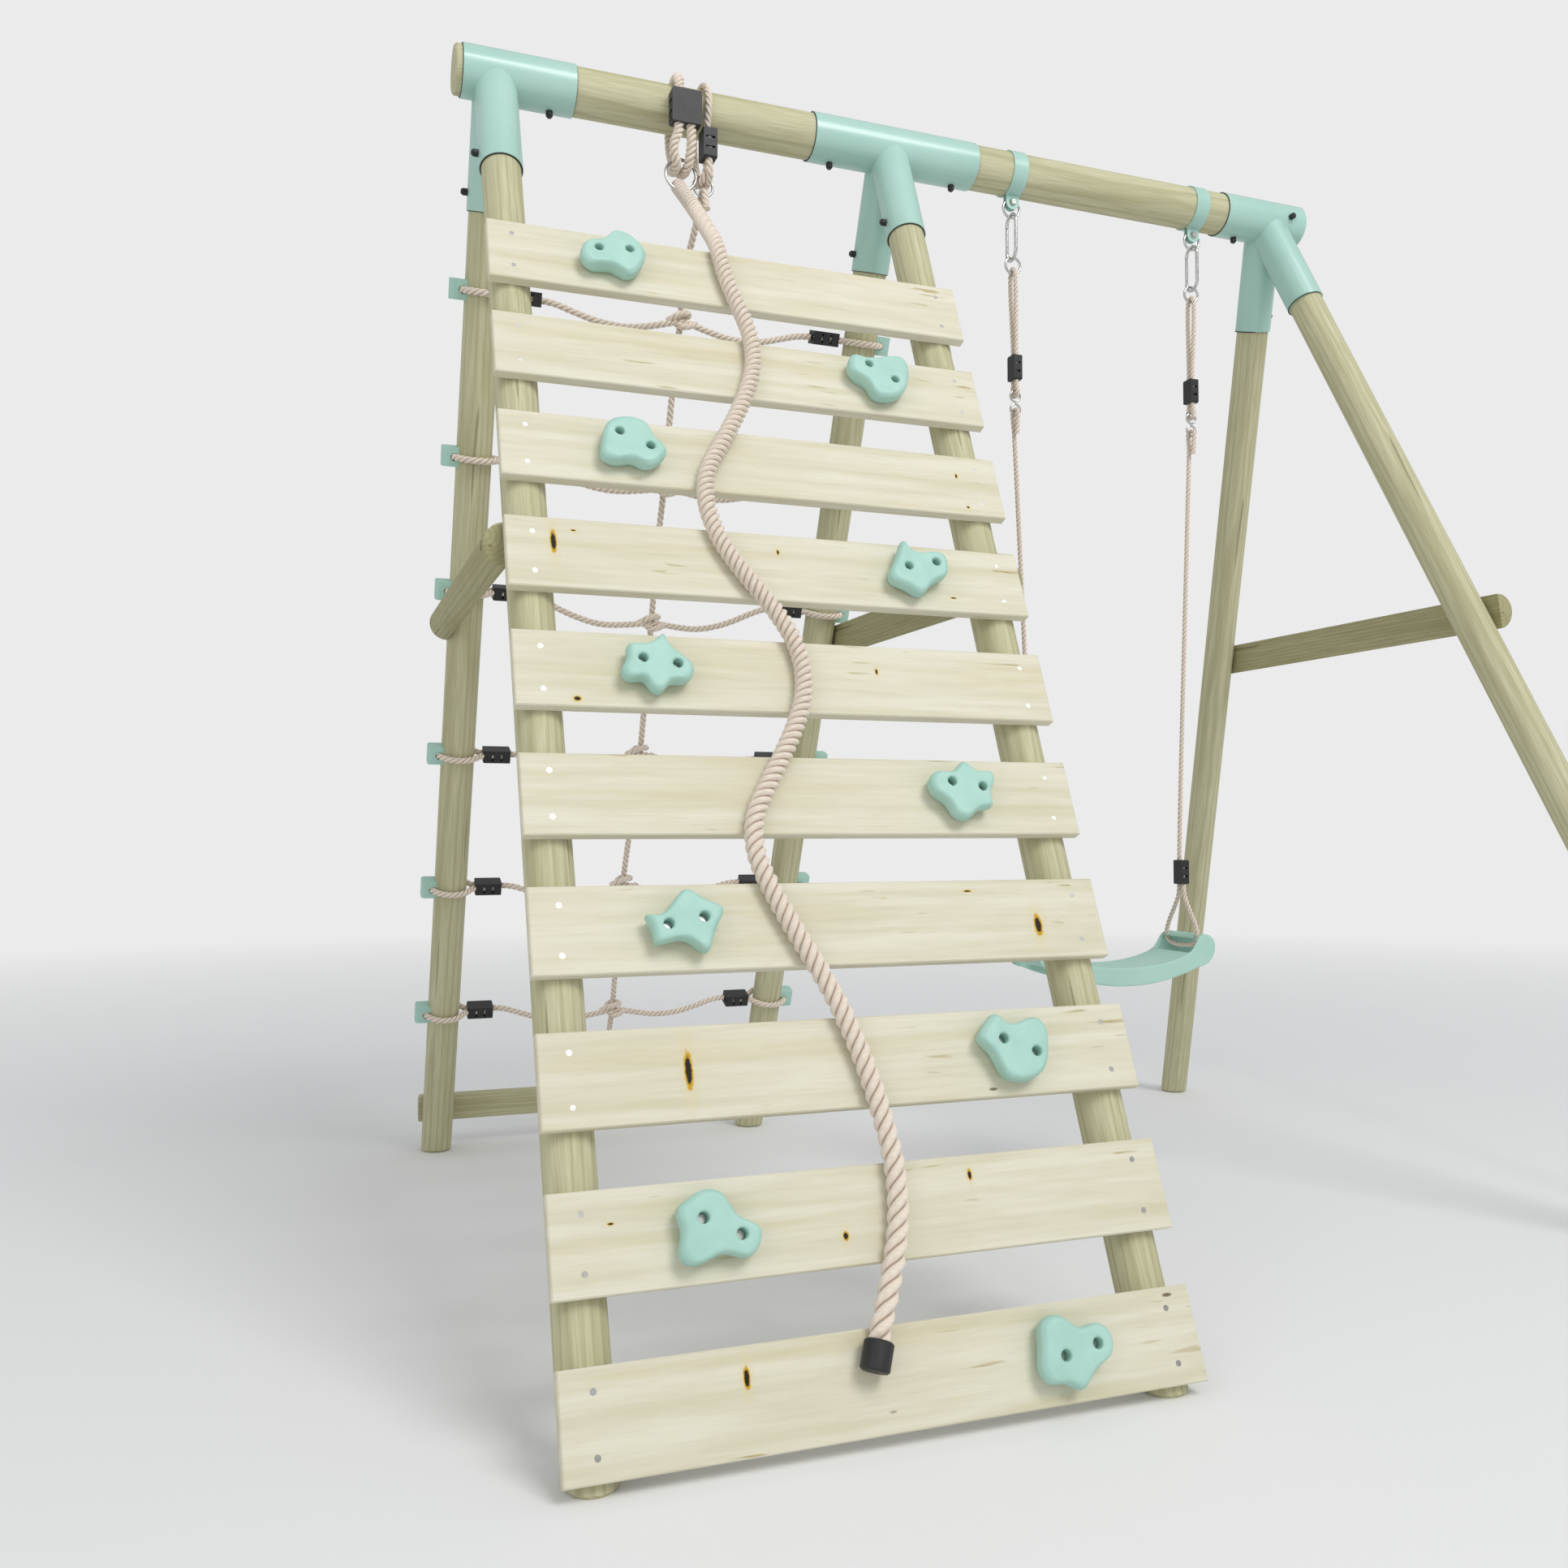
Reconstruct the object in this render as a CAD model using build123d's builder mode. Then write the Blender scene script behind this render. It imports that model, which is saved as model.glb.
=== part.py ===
from build123d import *
import os
from math import atan2, cos, pi, radians, sin, tan

os.makedirs("parts", exist_ok=True)

# Timber climbing frame with one swing. X runs along the top beam, +Y to the net side, +Z up.
# The origin is on the ground under the middle of the frame. Millimetres.

# ---------------- driving dimensions ----------------
beam_diameter = 100
beam_height = 2460          # ground to beam axis
beam_y = 11                 # beam axis, so that the origin is in the middle of the footprint
leg_diameter = 80
foot_reach = 1012           # beam axis to a foot's centre, towards the front or the rear
left_frame_x = -1186        # axis of the left pair of legs
frame_spacing = 905         # left pair to middle pair
swing_bay = 1080            # middle pair to right pair, at the beam
end_frame_splay = 431       # the right feet stand this much further out than their tops
foot_chamfer = 6

sleeve_wall = 3.0
sleeve_clearance = 0.5      # between timber and bracket, on the radius
socket_wall = 4.0
socket_end = 268            # beam axis to the open end of a leg socket, along the leg
leg_top_gap = 5.61          # a leg's top to the frame's middle plane
end_sleeve_inner = 165      # how far a sleeve runs from its legs towards the middle of the frame
end_sleeve_outer = 70
right_sleeve_inner = 148
right_sleeve_outer = 92
middle_sleeve_left = 196
middle_sleeve_right = 216
beam_overhang = 86          # left end of the beam beyond its legs

bolt_diameter = 10
bolt_clearance = 0.25       # on the radius
bolt_head_radius = 9
leg_bolt_distance = 232     # beam axis to the bolt through a socket, along the leg
bolt_grip = 28              # shank beyond the timber's axis
cap_radius = 7.5
cap_height = 14
cap_dome = 4

crossbar_radius = 40        # half of a round pole, flat side to the legs
crossbar_end = 51.6         # from its bolts to its ends
wall_crossbar_end = 21.6    # left and middle: they fit behind the slats
crossbar_height = 1370
ground_bar_slope = 106      # up the rear legs to the ground bar's middle

slat_count = 10
slat_width = 142
slat_thickness = 20
slat_pitch = 227.5
first_slat = 3              # up the front legs to the lowest slat's lower edge
slat_overhang = 47
slat_edge_chamfer = 2
slat_screw_diameter = 5
slat_screw_edge = 31        # screw to the slat's edge
slat_screw_length = 50

stone_height = 38
stone_offset = 263          # stone centre to the middle of the slat
stone_bolt_diameter = 8
stone_counterbore_radius = 8.5
stone_bolt_head_radius = 7
stone_foot_draft = 12       # the foot of a stone is this much smaller all round

net_rope_diameter = 16
net_row_first = 430         # up the rear legs to the lowest row
net_row_pitch = 360
net_row_count = 6
net_lifted_row = 3          # counted from the top: it clears the crossbars
net_row_lift = 50
guide_length = 44           # up the leg
guide_depth = 38            # round the leg
guide_proud = 33
rope_clamp_length = 66
rope_clamp_height = 31
rope_clamp_width = 41
clamp_corner = 4
clamp_slot_width = 5
clamp_slot_depth = 6
clamp_slot_edge = 5         # left above and below a slot
rope_clearance = 0.4

climbing_rope_diameter = 34
climbing_rope_gap = 0.8     # between the rope and the slats that it lies on
rope_cap_diameter = 44
rope_cap_length = 42
rope_cap_chamfer = 3

sling_rope_diameter = 22    # sling that carries the climbing rope
sling_x_offset = -55        # from the middle of the climbing wall
sling_ring_radius = 34
sling_ring_wire = 3.5

swing_rope_diameter = 12
strap_spacing = 523
strap_centre = 590.5        # from the middle pair of legs to the middle of the swing
strap_width = 38
strap_thickness = 3
strap_drop = 20             # the beam's lowest line to the bolt under it
tab_gap = 9
link_radius = 22
link_wire = 3
carabiner_length = 120
carabiner_width = 50
carabiner_wire = 4
swing_ring_radius = 20
swing_ring_wire = 3
figure_eight_top = 1932     # height of its upper eye
figure_eight_radius = 13
figure_eight_wire = 2.5
figure_eight_neck = 6       # between the wires of its two eyes
rope_spread_top = 258       # middle of the swing to the rope, at the ring
rope_spread_hook = 254
rope_spread_seat = 209
swing_clamp_length = 60

seat_length = 498
seat_width = 156
seat_end_height = 620       # ground to the top of the seat's raised ends
seat_dip = 74               # depth of the seat's middle under its raised ends
seat_skirt = 44
seat_skin = 6
seat_hole_reach = 60        # seat's middle line to a rope hole

# ---------------- worked out from them ----------------
beam_radius = beam_diameter / 2
leg_radius = leg_diameter / 2
sleeve_inner = beam_radius + sleeve_clearance
sleeve_outer = sleeve_inner + sleeve_wall
socket_inner = leg_radius + sleeve_clearance
socket_outer = socket_inner + socket_wall
bolt_radius = bolt_diameter / 2
bolt_hole = bolt_radius + bolt_clearance

middle_frame_x = left_frame_x + frame_spacing
right_frame_x = middle_frame_x + swing_bay
right_foot_x = right_frame_x + end_frame_splay
wall_middle_x = left_frame_x + frame_spacing / 2
swing_middle_x = middle_frame_x + strap_centre

lean = atan2(foot_reach, beam_height)
splay = atan2(end_frame_splay, beam_height)
# Beam axis to the top of a leg, along the leg.
leg_top = (leg_radius * cos(lean) + leg_top_gap) / sin(lean)

# Local planes: X along the beam, Y up the slope of the legs, Z out of the wall or net.
wall_plane = Plane(
    origin=(0, beam_y - foot_reach, 0), x_dir=(1, 0, 0), z_dir=(0, -cos(lean), sin(lean))
)
net_plane = Plane(
    origin=(0, beam_y + foot_reach, 0), x_dir=(1, 0, 0), z_dir=(0, -cos(lean), -sin(lean))
)

frames = {
    "left": (left_frame_x, left_frame_x),
    "middle": (middle_frame_x, middle_frame_x),
    "right": (right_frame_x, right_foot_x),
}
sides = {"front": -1, "rear": 1}


def finish(part, name):
    """Label a finished piece and write its STEP file."""
    part.label = name
    export_step(part, f"parts/{name}.step")


def leg_plane(frame, side, distance=0):
    """Plane across a leg, this far from the beam's axis; its X points out of the frame."""
    top_x, foot_x = frames[frame]
    top = Vector(top_x, beam_y, beam_height)
    foot = Vector(foot_x, beam_y + sides[side] * foot_reach, 0)
    down = (foot - top).normalized()
    out = Vector(cos(splay), 0, sin(splay)) if foot_x != top_x else Vector(1, 0, 0)
    return Plane(origin=top + down * distance, x_dir=out, z_dir=down)


def leg_length(frame):
    """Beam axis to ground along a leg's axis."""
    top_x, foot_x = frames[frame]
    return Vector(foot_x - top_x, foot_reach, beam_height).length


def slat_start(number):
    """Up the front legs to the lower edge of a slat; number 1 is the top slat."""
    return first_slat + (slat_count - number) * slat_pitch


def rounds(plane, places, radius, amount, mode=Mode.ADD, taper=0):
    """Round pins, or holes, from places on a plane along its Z, in the part being built."""
    with BuildSketch(plane) as circles:
        with Locations(*places):
            Circle(radius)
    extrude(circles.sketch, amount=amount, taper=taper, mode=mode)


def holes(plane, places, radius, amount):
    rounds(plane, places, radius, amount, Mode.SUBTRACT)


screw_rows = [
    slat_start(number) + edge
    for number in range(1, slat_count + 1)
    for edge in (slat_screw_edge, slat_width - slat_screw_edge)
]

# ---------------- top beam ----------------
beam_left = left_frame_x - beam_overhang
beam_right = right_frame_x + right_sleeve_outer - sleeve_wall - 1
sleeve_spans = {
    "left": (left_frame_x - end_sleeve_outer, left_frame_x + end_sleeve_inner),
    "middle": (middle_frame_x - middle_sleeve_left, middle_frame_x + middle_sleeve_right),
    "right": (right_frame_x - right_sleeve_inner, right_frame_x + right_sleeve_outer),
}
sleeve_bolt_inset = 50
beam_bolts = [
    sleeve_spans["left"][1] - sleeve_bolt_inset,
    sleeve_spans["middle"][0] + sleeve_bolt_inset,
    sleeve_spans["middle"][1] - sleeve_bolt_inset,
    sleeve_spans["right"][0] + sleeve_bolt_inset,
]
end_bolt_x = sleeve_spans["right"][1] - sleeve_bolt_inset
beam_axis_plane = Plane(origin=(0, beam_y, beam_height), x_dir=(0, 1, 0), z_dir=(1, 0, 0))
bolt_reach = sleeve_outer + 20


def drill_beam_bolts():
    """Blind bolt holes from under the sleeves, and the one from in front at the right end."""
    under = Plane.XY.offset(beam_height - bolt_reach)
    holes(under, [(x, beam_y) for x in beam_bolts], bolt_hole, bolt_reach + bolt_grip + 1)
    front = Plane(origin=(end_bolt_x, beam_y - bolt_reach, beam_height), z_dir=(0, 1, 0))
    holes(front, [(0, 0)], bolt_hole, bolt_reach + bolt_grip + 1)


with BuildPart() as top_beam:
    rounds(beam_axis_plane.offset(beam_left), [(0, 0)], beam_radius, beam_right - beam_left)
    chamfer(top_beam.edges().filter_by(GeomType.CIRCLE), 4)
    drill_beam_bolts()
finish(top_beam.part, "top_beam")

# ---------------- beam brackets: a sleeve with two welded leg sockets ----------------
bore_start = sleeve_outer + 20   # the sockets are open below this distance


def make_bracket(frame):
    low, high = sleeve_spans[frame]
    with BuildPart() as bracket:
        rounds(beam_axis_plane.offset(low), [(0, 0)], sleeve_outer, high - low)
        for side in sides:
            rounds(leg_plane(frame, side), [(0, 0)], socket_outer, socket_end)
        for side in sides:
            holes(leg_plane(frame, side, bore_start), [(0, 0)], socket_inner, socket_end)
        closed = sleeve_wall if frame == "right" else -1
        bore_length = high - low + 1 - closed
        holes(beam_axis_plane.offset(low - 1), [(0, 0)], sleeve_inner, bore_length)
        drill_beam_bolts()
        for side in sides:
            drill_leg_bolt(frame, side)
    return bracket.part


def leg_bolt_plane(frame, side):
    """Origin on the leg's axis; Z points away from the bolt's cap."""
    across = leg_plane(frame, side, leg_bolt_distance)
    away = across.x_dir * (-1 if frame == "right" else 1)
    return Plane(origin=across.origin, z_dir=away)


def drill_leg_bolt(frame, side):
    """Blind hole across a leg and its socket, from the cap's side."""
    start = leg_bolt_plane(frame, side).offset(-bolt_reach)
    holes(start, [(0, 0)], bolt_hole, bolt_reach + bolt_grip + 1)


for frame in frames:
    finish(make_bracket(frame), f"{frame}_bracket")


# ---------------- crossbars: where they meet the legs ----------------
crossbar_sides = {"left": -1, "middle": 1, "right": 1}
crossbar_bolt_diameter = 8
crossbar_bolt_hole = crossbar_bolt_diameter / 2 + bolt_clearance
crossbar_bolt_bite = 60     # into the leg from the bar's flat side
crossbar_sink = 10          # head below the round side


def crossbar_plane(frame):
    """Plane of a crossbar's flat side; X runs front to rear, Z out of the frame."""
    out = leg_plane(frame, "front").x_dir * crossbar_sides[frame]
    top_x, foot_x = frames[frame]
    drop = (beam_height - crossbar_height) / beam_height
    centre = Vector(top_x + (foot_x - top_x) * drop, beam_y, crossbar_height)
    return Plane(origin=centre + out * leg_radius, x_dir=(0, 1, 0), z_dir=out)


crossbar_bolt_reach = foot_reach * (beam_height - crossbar_height) / beam_height
ground_bar_plane = net_plane.offset(-leg_radius)


def drill_leg_for_bars(frame, side):
    """Blind holes in a leg for the crossbar's bolt and, at the rear, the ground bar's."""
    place = (sides[side] * crossbar_bolt_reach, 0)
    holes(crossbar_plane(frame), [place], crossbar_bolt_hole, -crossbar_bolt_bite)
    if side == "rear" and frame != "right":
        place = (frames[frame][0], ground_bar_slope)
        holes(ground_bar_plane, [place], crossbar_bolt_hole, crossbar_bolt_bite)


# ---------------- legs ----------------
slat_screw_hole = slat_screw_diameter / 2 + 0.1


def make_leg(frame, side):
    with BuildPart() as leg:
        reach = leg_length(frame) - leg_top + leg_diameter
        rounds(leg_plane(frame, side, leg_top), [(0, 0)], leg_radius, reach)
        split(bisect_by=Plane.XY, keep=Keep.TOP)
        chamfer(leg.faces().sort_by(Axis.Z)[0].edges(), foot_chamfer)
        drill_leg_bolt(frame, side)
        drill_leg_for_bars(frame, side)
        if side == "front" and frame != "right":
            places = [(frames[frame][0], row) for row in screw_rows]
            bite = slat_screw_length - slat_thickness + 1
            holes(wall_plane.offset(leg_radius), places, slat_screw_hole, -bite)
    return leg.part


for frame in frames:
    for side in sides:
        finish(make_leg(frame, side), f"{frame}_{side}_leg")


# ---------------- half-round bars ----------------
def half_round():
    """Sketch of the bar's section: flat side on the local X axis."""
    with BuildSketch(mode=Mode.PRIVATE) as section:
        Circle(crossbar_radius)
        with Locations((0, -crossbar_radius)):
            Rectangle(3 * crossbar_radius, 2 * crossbar_radius, mode=Mode.SUBTRACT)
    return section.sketch


def make_bar(plane, length, bolt_places):
    """A half-round bar along the plane's X axis, its round side towards the plane's Z."""
    start = plane.location * Pos(-length / 2, 0, 0)
    along = Plane(origin=start.position, x_dir=plane.y_dir, z_dir=plane.x_dir)
    with BuildPart() as bar:
        with BuildSketch(along):
            add(half_round())
        extrude(amount=length)
        chamfer(bar.edges().filter_by(GeomType.CIRCLE), 3)
        holes(plane.offset(-1), bolt_places, crossbar_bolt_hole, crossbar_radius + 2)
        seat = plane.offset(crossbar_radius - crossbar_sink)
        holes(seat, bolt_places, bolt_head_radius + 1, crossbar_sink + 2)
    return bar.part


crossbar_bolt_places = [(-crossbar_bolt_reach, 0), (crossbar_bolt_reach, 0)]
crossbar_ends = {"left": wall_crossbar_end, "middle": wall_crossbar_end, "right": crossbar_end}
for frame in frames:
    length = 2 * (crossbar_bolt_reach + crossbar_ends[frame])
    bar = make_bar(crossbar_plane(frame), length, crossbar_bolt_places)
    finish(bar, f"{frame}_crossbar")

ground_bar_centre = ground_bar_plane.location * Pos(wall_middle_x, ground_bar_slope, 0)
ground_bar_out = Plane(
    origin=ground_bar_centre.position, x_dir=(1, 0, 0), z_dir=net_plane.z_dir * -1
)
ground_bar_bolt_places = [(-frame_spacing / 2, 0), (frame_spacing / 2, 0)]
ground_bar_length = frame_spacing + 2 * slat_overhang
finish(make_bar(ground_bar_out, ground_bar_length, ground_bar_bolt_places), "rear_ground_bar")

# ---------------- climbing stones: outlines and their two bolt places ----------------
# Each outline is the stone's top face, seen from in front, about its own middle.
stone_forms = {
    1: ([(13, 57), (49, 40), (64, 14), (54, -25), (26, -52), (-4, -36), (-52, -38), (-64, -8),
         (-50, 18), (-13, 33)], [(-29, 1), (32, 8)]),
    2: ([(-47, 48), (-4, 46), (62, 54), (60, -10), (46, -34), (4, -54), (-18, -48), (-30, -20),
         (-62, 4), (-63, 28)], [(-22, 24), (30, -8)]),
    3: ([(-52, 28), (15, 54), (28, 46), (37, 22), (60, -10), (49, -32), (19, -48), (-4, -38),
         (-36, -44), (-60, -36), (-59, -4)], [(-26, 18), (29, -8)]),
    4: ([(-19, 56), (4, 36), (60, 36), (64, 8), (54, -13), (26, -28), (-4, -56), (-34, -40),
         (-60, -26), (-58, -6), (-40, 26)], [(-22, 1), (37, 14)]),
    5: ([(17, 56), (34, 26), (62, -8), (47, -32), (18, -36), (0, -54), (-16, -47), (-26, -30),
         (-56, -30), (-63, -14), (-54, 4), (-49, 33), (-7, 41)], [(-26, 6), (33, -2)]),
    6: ([(-56, 26), (-41, 36), (-13, 36), (11, 55), (37, 37), (64, 36), (65, 18), (54, -4),
         (52, -30), (26, -36), (-2, -54), (-22, -46), (-34, -22), (-56, -4)], [(-21, 14), (37, 5)]),
    7: ([(-60, 12), (-26, 22), (6, 53), (32, 38), (63, 20), (48, -12), (29, -50), (0, -30),
         (-52, -32), (-55, -10)], [(-29, -5), (29, 5)]),
    8: ([(-19, 53), (9, 40), (54, 46), (64, 30), (62, 0), (50, -32), (-4, -54), (-24, -46),
         (-46, 0), (-60, 18), (-45, 41)], [(-20, 15), (35, -9)]),
    9: ([(-7, 54), (11, 45), (30, 14), (62, -8), (60, -24), (38, -44), (6, -36), (-51, -45),
         (-60, -34), (-55, 0), (-58, 30), (-42, 43)], [(-23, 15), (31, -12)]),
    10: ([(-37, 51), (-13, 50), (11, 32), (47, 34), (66, 11), (60, -10), (26, -30), (-4, -53),
          (-22, -43), (-52, -38), (-62, -19), (-56, 12), (-51, 40)], [(-21, -4), (36, 6)]),
}
stone_mid_height = 15       # the stone is widest here


def stone_place(number):
    """Middle of a stone on its slat: odd stones to the left, even to the right."""
    side = -1 if number % 2 else 1
    return (wall_middle_x + side * stone_offset, slat_start(number) + slat_width / 2)


def stone_bolts_at(number):
    x, slope = stone_place(number)
    return [(x + dx, slope + dy) for dx, dy in stone_forms[number][1]]


slat_face = wall_plane.offset(leg_radius + slat_thickness)
stone_bolt_hole = stone_bolt_diameter / 2 + bolt_clearance
stone_bolt_seat = 14        # floor of the counterbore above the slat


def stone_section(number, height, share):
    """The stone's outline at a height above the slat, drawn in to a share of its size."""
    x, slope = stone_place(number)
    points = [(x + dx * share, slope + dy * share) for dx, dy in stone_forms[number][0]]
    with BuildSketch(slat_face.offset(height)) as section:
        with BuildLine():
            Spline(*points, periodic=True)
        make_face()
    return section.sketch


def make_stone(number):
    foot_share = 1 - stone_foot_draft / 60
    top_share = 0.88
    with BuildPart() as stone:
        for low, high, share_low, share_high in (
            (0, stone_mid_height, foot_share, 1.0),
            (stone_mid_height, stone_height - 8, 1.0, 1.0),
            (stone_height - 8, stone_height, 1.0, top_share),
        ):
            loft(sections=[
                stone_section(number, low, share_low),
                stone_section(number, high, share_high),
            ])
        bolts = stone_bolts_at(number)
        holes(slat_face.offset(-1), bolts, stone_bolt_hole, stone_height + 2)
        holes(slat_face.offset(stone_bolt_seat), bolts, stone_counterbore_radius, stone_height)
    return stone.part


for name, numbers in (("left", (1, 3, 5, 7, 9)), ("right", (2, 4, 6, 8, 10))):
    with BuildPart() as stones:
        for number in numbers:
            add(make_stone(number))
    finish(stones.part, f"climbing_stones_{name}")

# ---------------- slats ----------------
slat_left = left_frame_x - slat_overhang
slat_right = middle_frame_x + slat_overhang
screw_head_radius = 4.6
screw_head_depth = 3


def make_slat(number):
    start = slat_start(number)
    with BuildPart() as slat:
        with BuildSketch(wall_plane.offset(leg_radius)):
            with Locations((wall_middle_x, start + slat_width / 2)):
                Rectangle(slat_right - slat_left, slat_width)
        extrude(amount=slat_thickness)
        chamfer(slat.faces().sort_by(Axis(slat_face.origin, slat_face.z_dir))[-1].edges(),
                slat_edge_chamfer)
        screws = [
            (x, start + edge)
            for x in (left_frame_x, middle_frame_x)
            for edge in (slat_screw_edge, slat_width - slat_screw_edge)
        ]
        holes(slat_face, screws, slat_screw_hole, -slat_thickness)
        holes(slat_face, screws, screw_head_radius + 0.1, -screw_head_depth)
        holes(slat_face, stone_bolts_at(number), stone_bolt_hole, -slat_thickness)
    return slat.part


for number in range(1, slat_count + 1):
    finish(make_slat(number), f"wall_slat_{number:02d}")

# ---------------- wall fixings ----------------
with BuildPart() as slat_screws:
    places = [(x, row) for x in (left_frame_x, middle_frame_x) for row in screw_rows]
    top = slat_face.offset(-screw_head_depth)
    shank = slat_screw_length - screw_head_depth
    rounds(top, places, slat_screw_diameter / 2, -shank)
    rounds(top, places, screw_head_radius, screw_head_depth - 0.2)
finish(slat_screws.part, "slat_screws")

washer_radius = 8
washer_thickness = 1.6
nut_width = 13
with BuildPart() as stone_bolts:
    places = [place for number in stone_forms for place in stone_bolts_at(number)]
    seat = slat_face.offset(stone_bolt_seat)
    rounds(seat, places, washer_radius, washer_thickness)
    rounds(seat.offset(washer_thickness), places, stone_bolt_head_radius, 5)
    shank = stone_bolt_seat + slat_thickness + 9
    rounds(seat, places, stone_bolt_diameter / 2, -shank)
    with BuildSketch(wall_plane.offset(leg_radius)):
        with Locations(*places):
            RegularPolygon(nut_width / 2, 6, major_radius=False)
    extrude(amount=-6.5)
finish(stone_bolts.part, "stone_bolts")

# ---------------- bolts through the brackets, and the bars' bolts ----------------
head_height = 6
bolt_tail = 8               # shank beyond the bracket, under its cap


def bolt_from_cap(plane, reach):
    """A bolt's shank along the plane's Z, from its tail in the cap to past the origin."""
    tail = reach + bolt_tail
    rounds(plane.offset(-tail), [(0, 0)], bolt_radius, tail + bolt_grip)


def cap_over(plane, reach):
    """A domed cap over the bolt's other end, hollow for its nut."""
    outward = Plane(origin=plane.origin, z_dir=plane.z_dir * -1).offset(reach)
    rounds(outward, [(0, 0)], cap_radius, cap_height - cap_dome)
    rounds(outward.offset(cap_height - cap_dome), [(0, 0)], cap_radius, cap_dome, taper=40)
    holes(outward, [(0, 0)], bolt_hole, bolt_tail + 1)


beam_bolt_planes = [
    Plane(origin=(x, beam_y, beam_height), z_dir=(0, 0, 1)) for x in beam_bolts
]
end_bolt_plane = Plane(origin=(end_bolt_x, beam_y, beam_height), z_dir=(0, 1, 0))


leg_bolt_planes = [leg_bolt_plane(frame, side) for frame in frames for side in sides]
bar_bolts = [
    (crossbar_plane(frame), place) for frame in frames for place in crossbar_bolt_places
] + [(ground_bar_out, place) for place in ground_bar_bolt_places]

with BuildPart() as frame_bolts:
    for plane in beam_bolt_planes + [end_bolt_plane]:
        bolt_from_cap(plane, sleeve_outer)
    for plane in leg_bolt_planes:
        bolt_from_cap(plane, socket_outer)
    for plane, place in bar_bolts:
        seat = plane.offset(crossbar_radius - crossbar_sink)
        shank = crossbar_radius - crossbar_sink + crossbar_bolt_bite - 1
        rounds(seat, [place], crossbar_bolt_diameter / 2, -shank)
        rounds(seat, [place], bolt_head_radius, 5)
finish(frame_bolts.part, "frame_bolts")

with BuildPart() as bolt_caps:
    for plane in beam_bolt_planes + [end_bolt_plane]:
        cap_over(plane, sleeve_outer)
    for plane in leg_bolt_planes:
        cap_over(plane, socket_outer)
finish(bolt_caps.part, "bolt_caps")


# ---------------- ropes: straight runs joined by tangent arcs ----------------
def corner_radii(points):
    """Largest smooth arc at each corner: 0.45 of the shorter run over tan(half the turn)."""
    radii = []
    for before, corner, after in zip(points, points[1:], points[2:]):
        run_in = corner - before
        run_out = after - corner
        half_turn = radians(run_in.get_angle(run_out)) / 2
        radii.append(0.45 * min(run_in.length, run_out.length) / tan(half_turn))
    return radii


def make_rope(name, route, diameter):
    points = [Vector(*point) for point in route]
    radii = corner_radii(points)
    with BuildPart() as rope:
        with BuildLine() as path:
            FilletPolyline(*points, radius=radii)
        with BuildSketch(Plane(origin=path.line @ 0, z_dir=path.line % 0)):
            Circle(diameter / 2)
        sweep()
    length = sum(edge.length for edge in path.line.edges())
    expected = length * pi * diameter ** 2 / 4
    print(f"{name}: length {length:.0f}, least radius {min(radii):.0f},",
          f"volume ratio {rope.part.volume / expected:.4f}")
    return rope.part


def on_wall(x, slope, out):
    """A point by its place on the climbing wall, and out from the front legs' axes."""
    return wall_plane.from_local_coords(Vector(x, slope, out))


def on_net(x, slope, front):
    """A point by its place on the net, and forward from the rear legs' axes."""
    return net_plane.from_local_coords(Vector(x, slope, front))


def from_beam(x, dy, dz):
    return Vector(x, beam_y + dy, beam_height + dz)


# ---------------- climbing net: guides, clamps and rows ----------------
net_rows = [net_row_first + net_row_pitch * row for row in range(net_row_count)][::-1]
net_rows[net_lifted_row - 1] += net_row_lift
wrap_radius = leg_radius + net_rope_diameter / 2 + 1
clamp_reach = 94            # leg's axis to the middle of its net clamp
strand_apart = 8.7          # half the distance between the two strands in a clamp
guide_channel = net_rope_diameter / 2 + 1
guide_overlap = 12          # behind the leg's nearest side, before the leg is cut out
guide_corner = 9
net_legs = {"left": (left_frame_x, 1), "middle": (middle_frame_x, -1)}   # 1: net lies to +X


def row_plane(frame, slope):
    """Plane across a rear leg at a net row: X along the beam, Y to the rear."""
    x = net_legs[frame][0]
    return Plane(origin=on_net(x, slope, 0), x_dir=(1, 0, 0), z_dir=net_plane.y_dir)


def make_guide(frame, slope):
    outward = -net_legs[frame][1]
    across = row_plane(frame, slope)
    with BuildPart() as guide:
        with BuildSketch(across.offset(-guide_length / 2)):
            middle = leg_radius + (guide_proud - guide_overlap) / 2
            with Locations((outward * middle, 0)):
                RectangleRounded(guide_proud + guide_overlap, guide_depth, guide_corner)
        extrude(amount=guide_length)
        holes(across.offset(-guide_length), [(0, 0)], leg_radius, 2 * guide_length)
        with Locations(across.location):
            Torus(wrap_radius, guide_channel, mode=Mode.SUBTRACT)
    return guide.part


def clamp_windows(across, half_width, half_height, depth, spacing):
    """Two slots in each broad face, through to the strands."""
    for face in (-1, 1):
        with BuildSketch(across.offset(-half_height)) as slots:
            with Locations(*[(dx, face * half_width) for dx in (-spacing, spacing)]):
                Rectangle(clamp_slot_width, 2 * depth)
        extrude(slots.sketch, amount=2 * half_height, mode=Mode.SUBTRACT)


def make_rope_clamp(along, length, width, height, strand_radius, apart):
    """A moulded clamp on two strands: plane's X along them, Y across them."""
    channel = strand_radius + rope_clearance
    with BuildPart() as clamp:
        with BuildSketch(along.offset(-height / 2)):
            RectangleRounded(length, width, clamp_corner)
        extrude(amount=height)
        ends = Plane(origin=along.origin, x_dir=along.y_dir, z_dir=along.x_dir)
        holes(ends.offset(-length), [(-apart, 0), (apart, 0)], channel, 2 * length)
        slot_half = height / 2 - clamp_slot_edge
        clamp_windows(along, width / 2, slot_half, clamp_slot_depth, length / 6)
    return clamp.part


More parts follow.
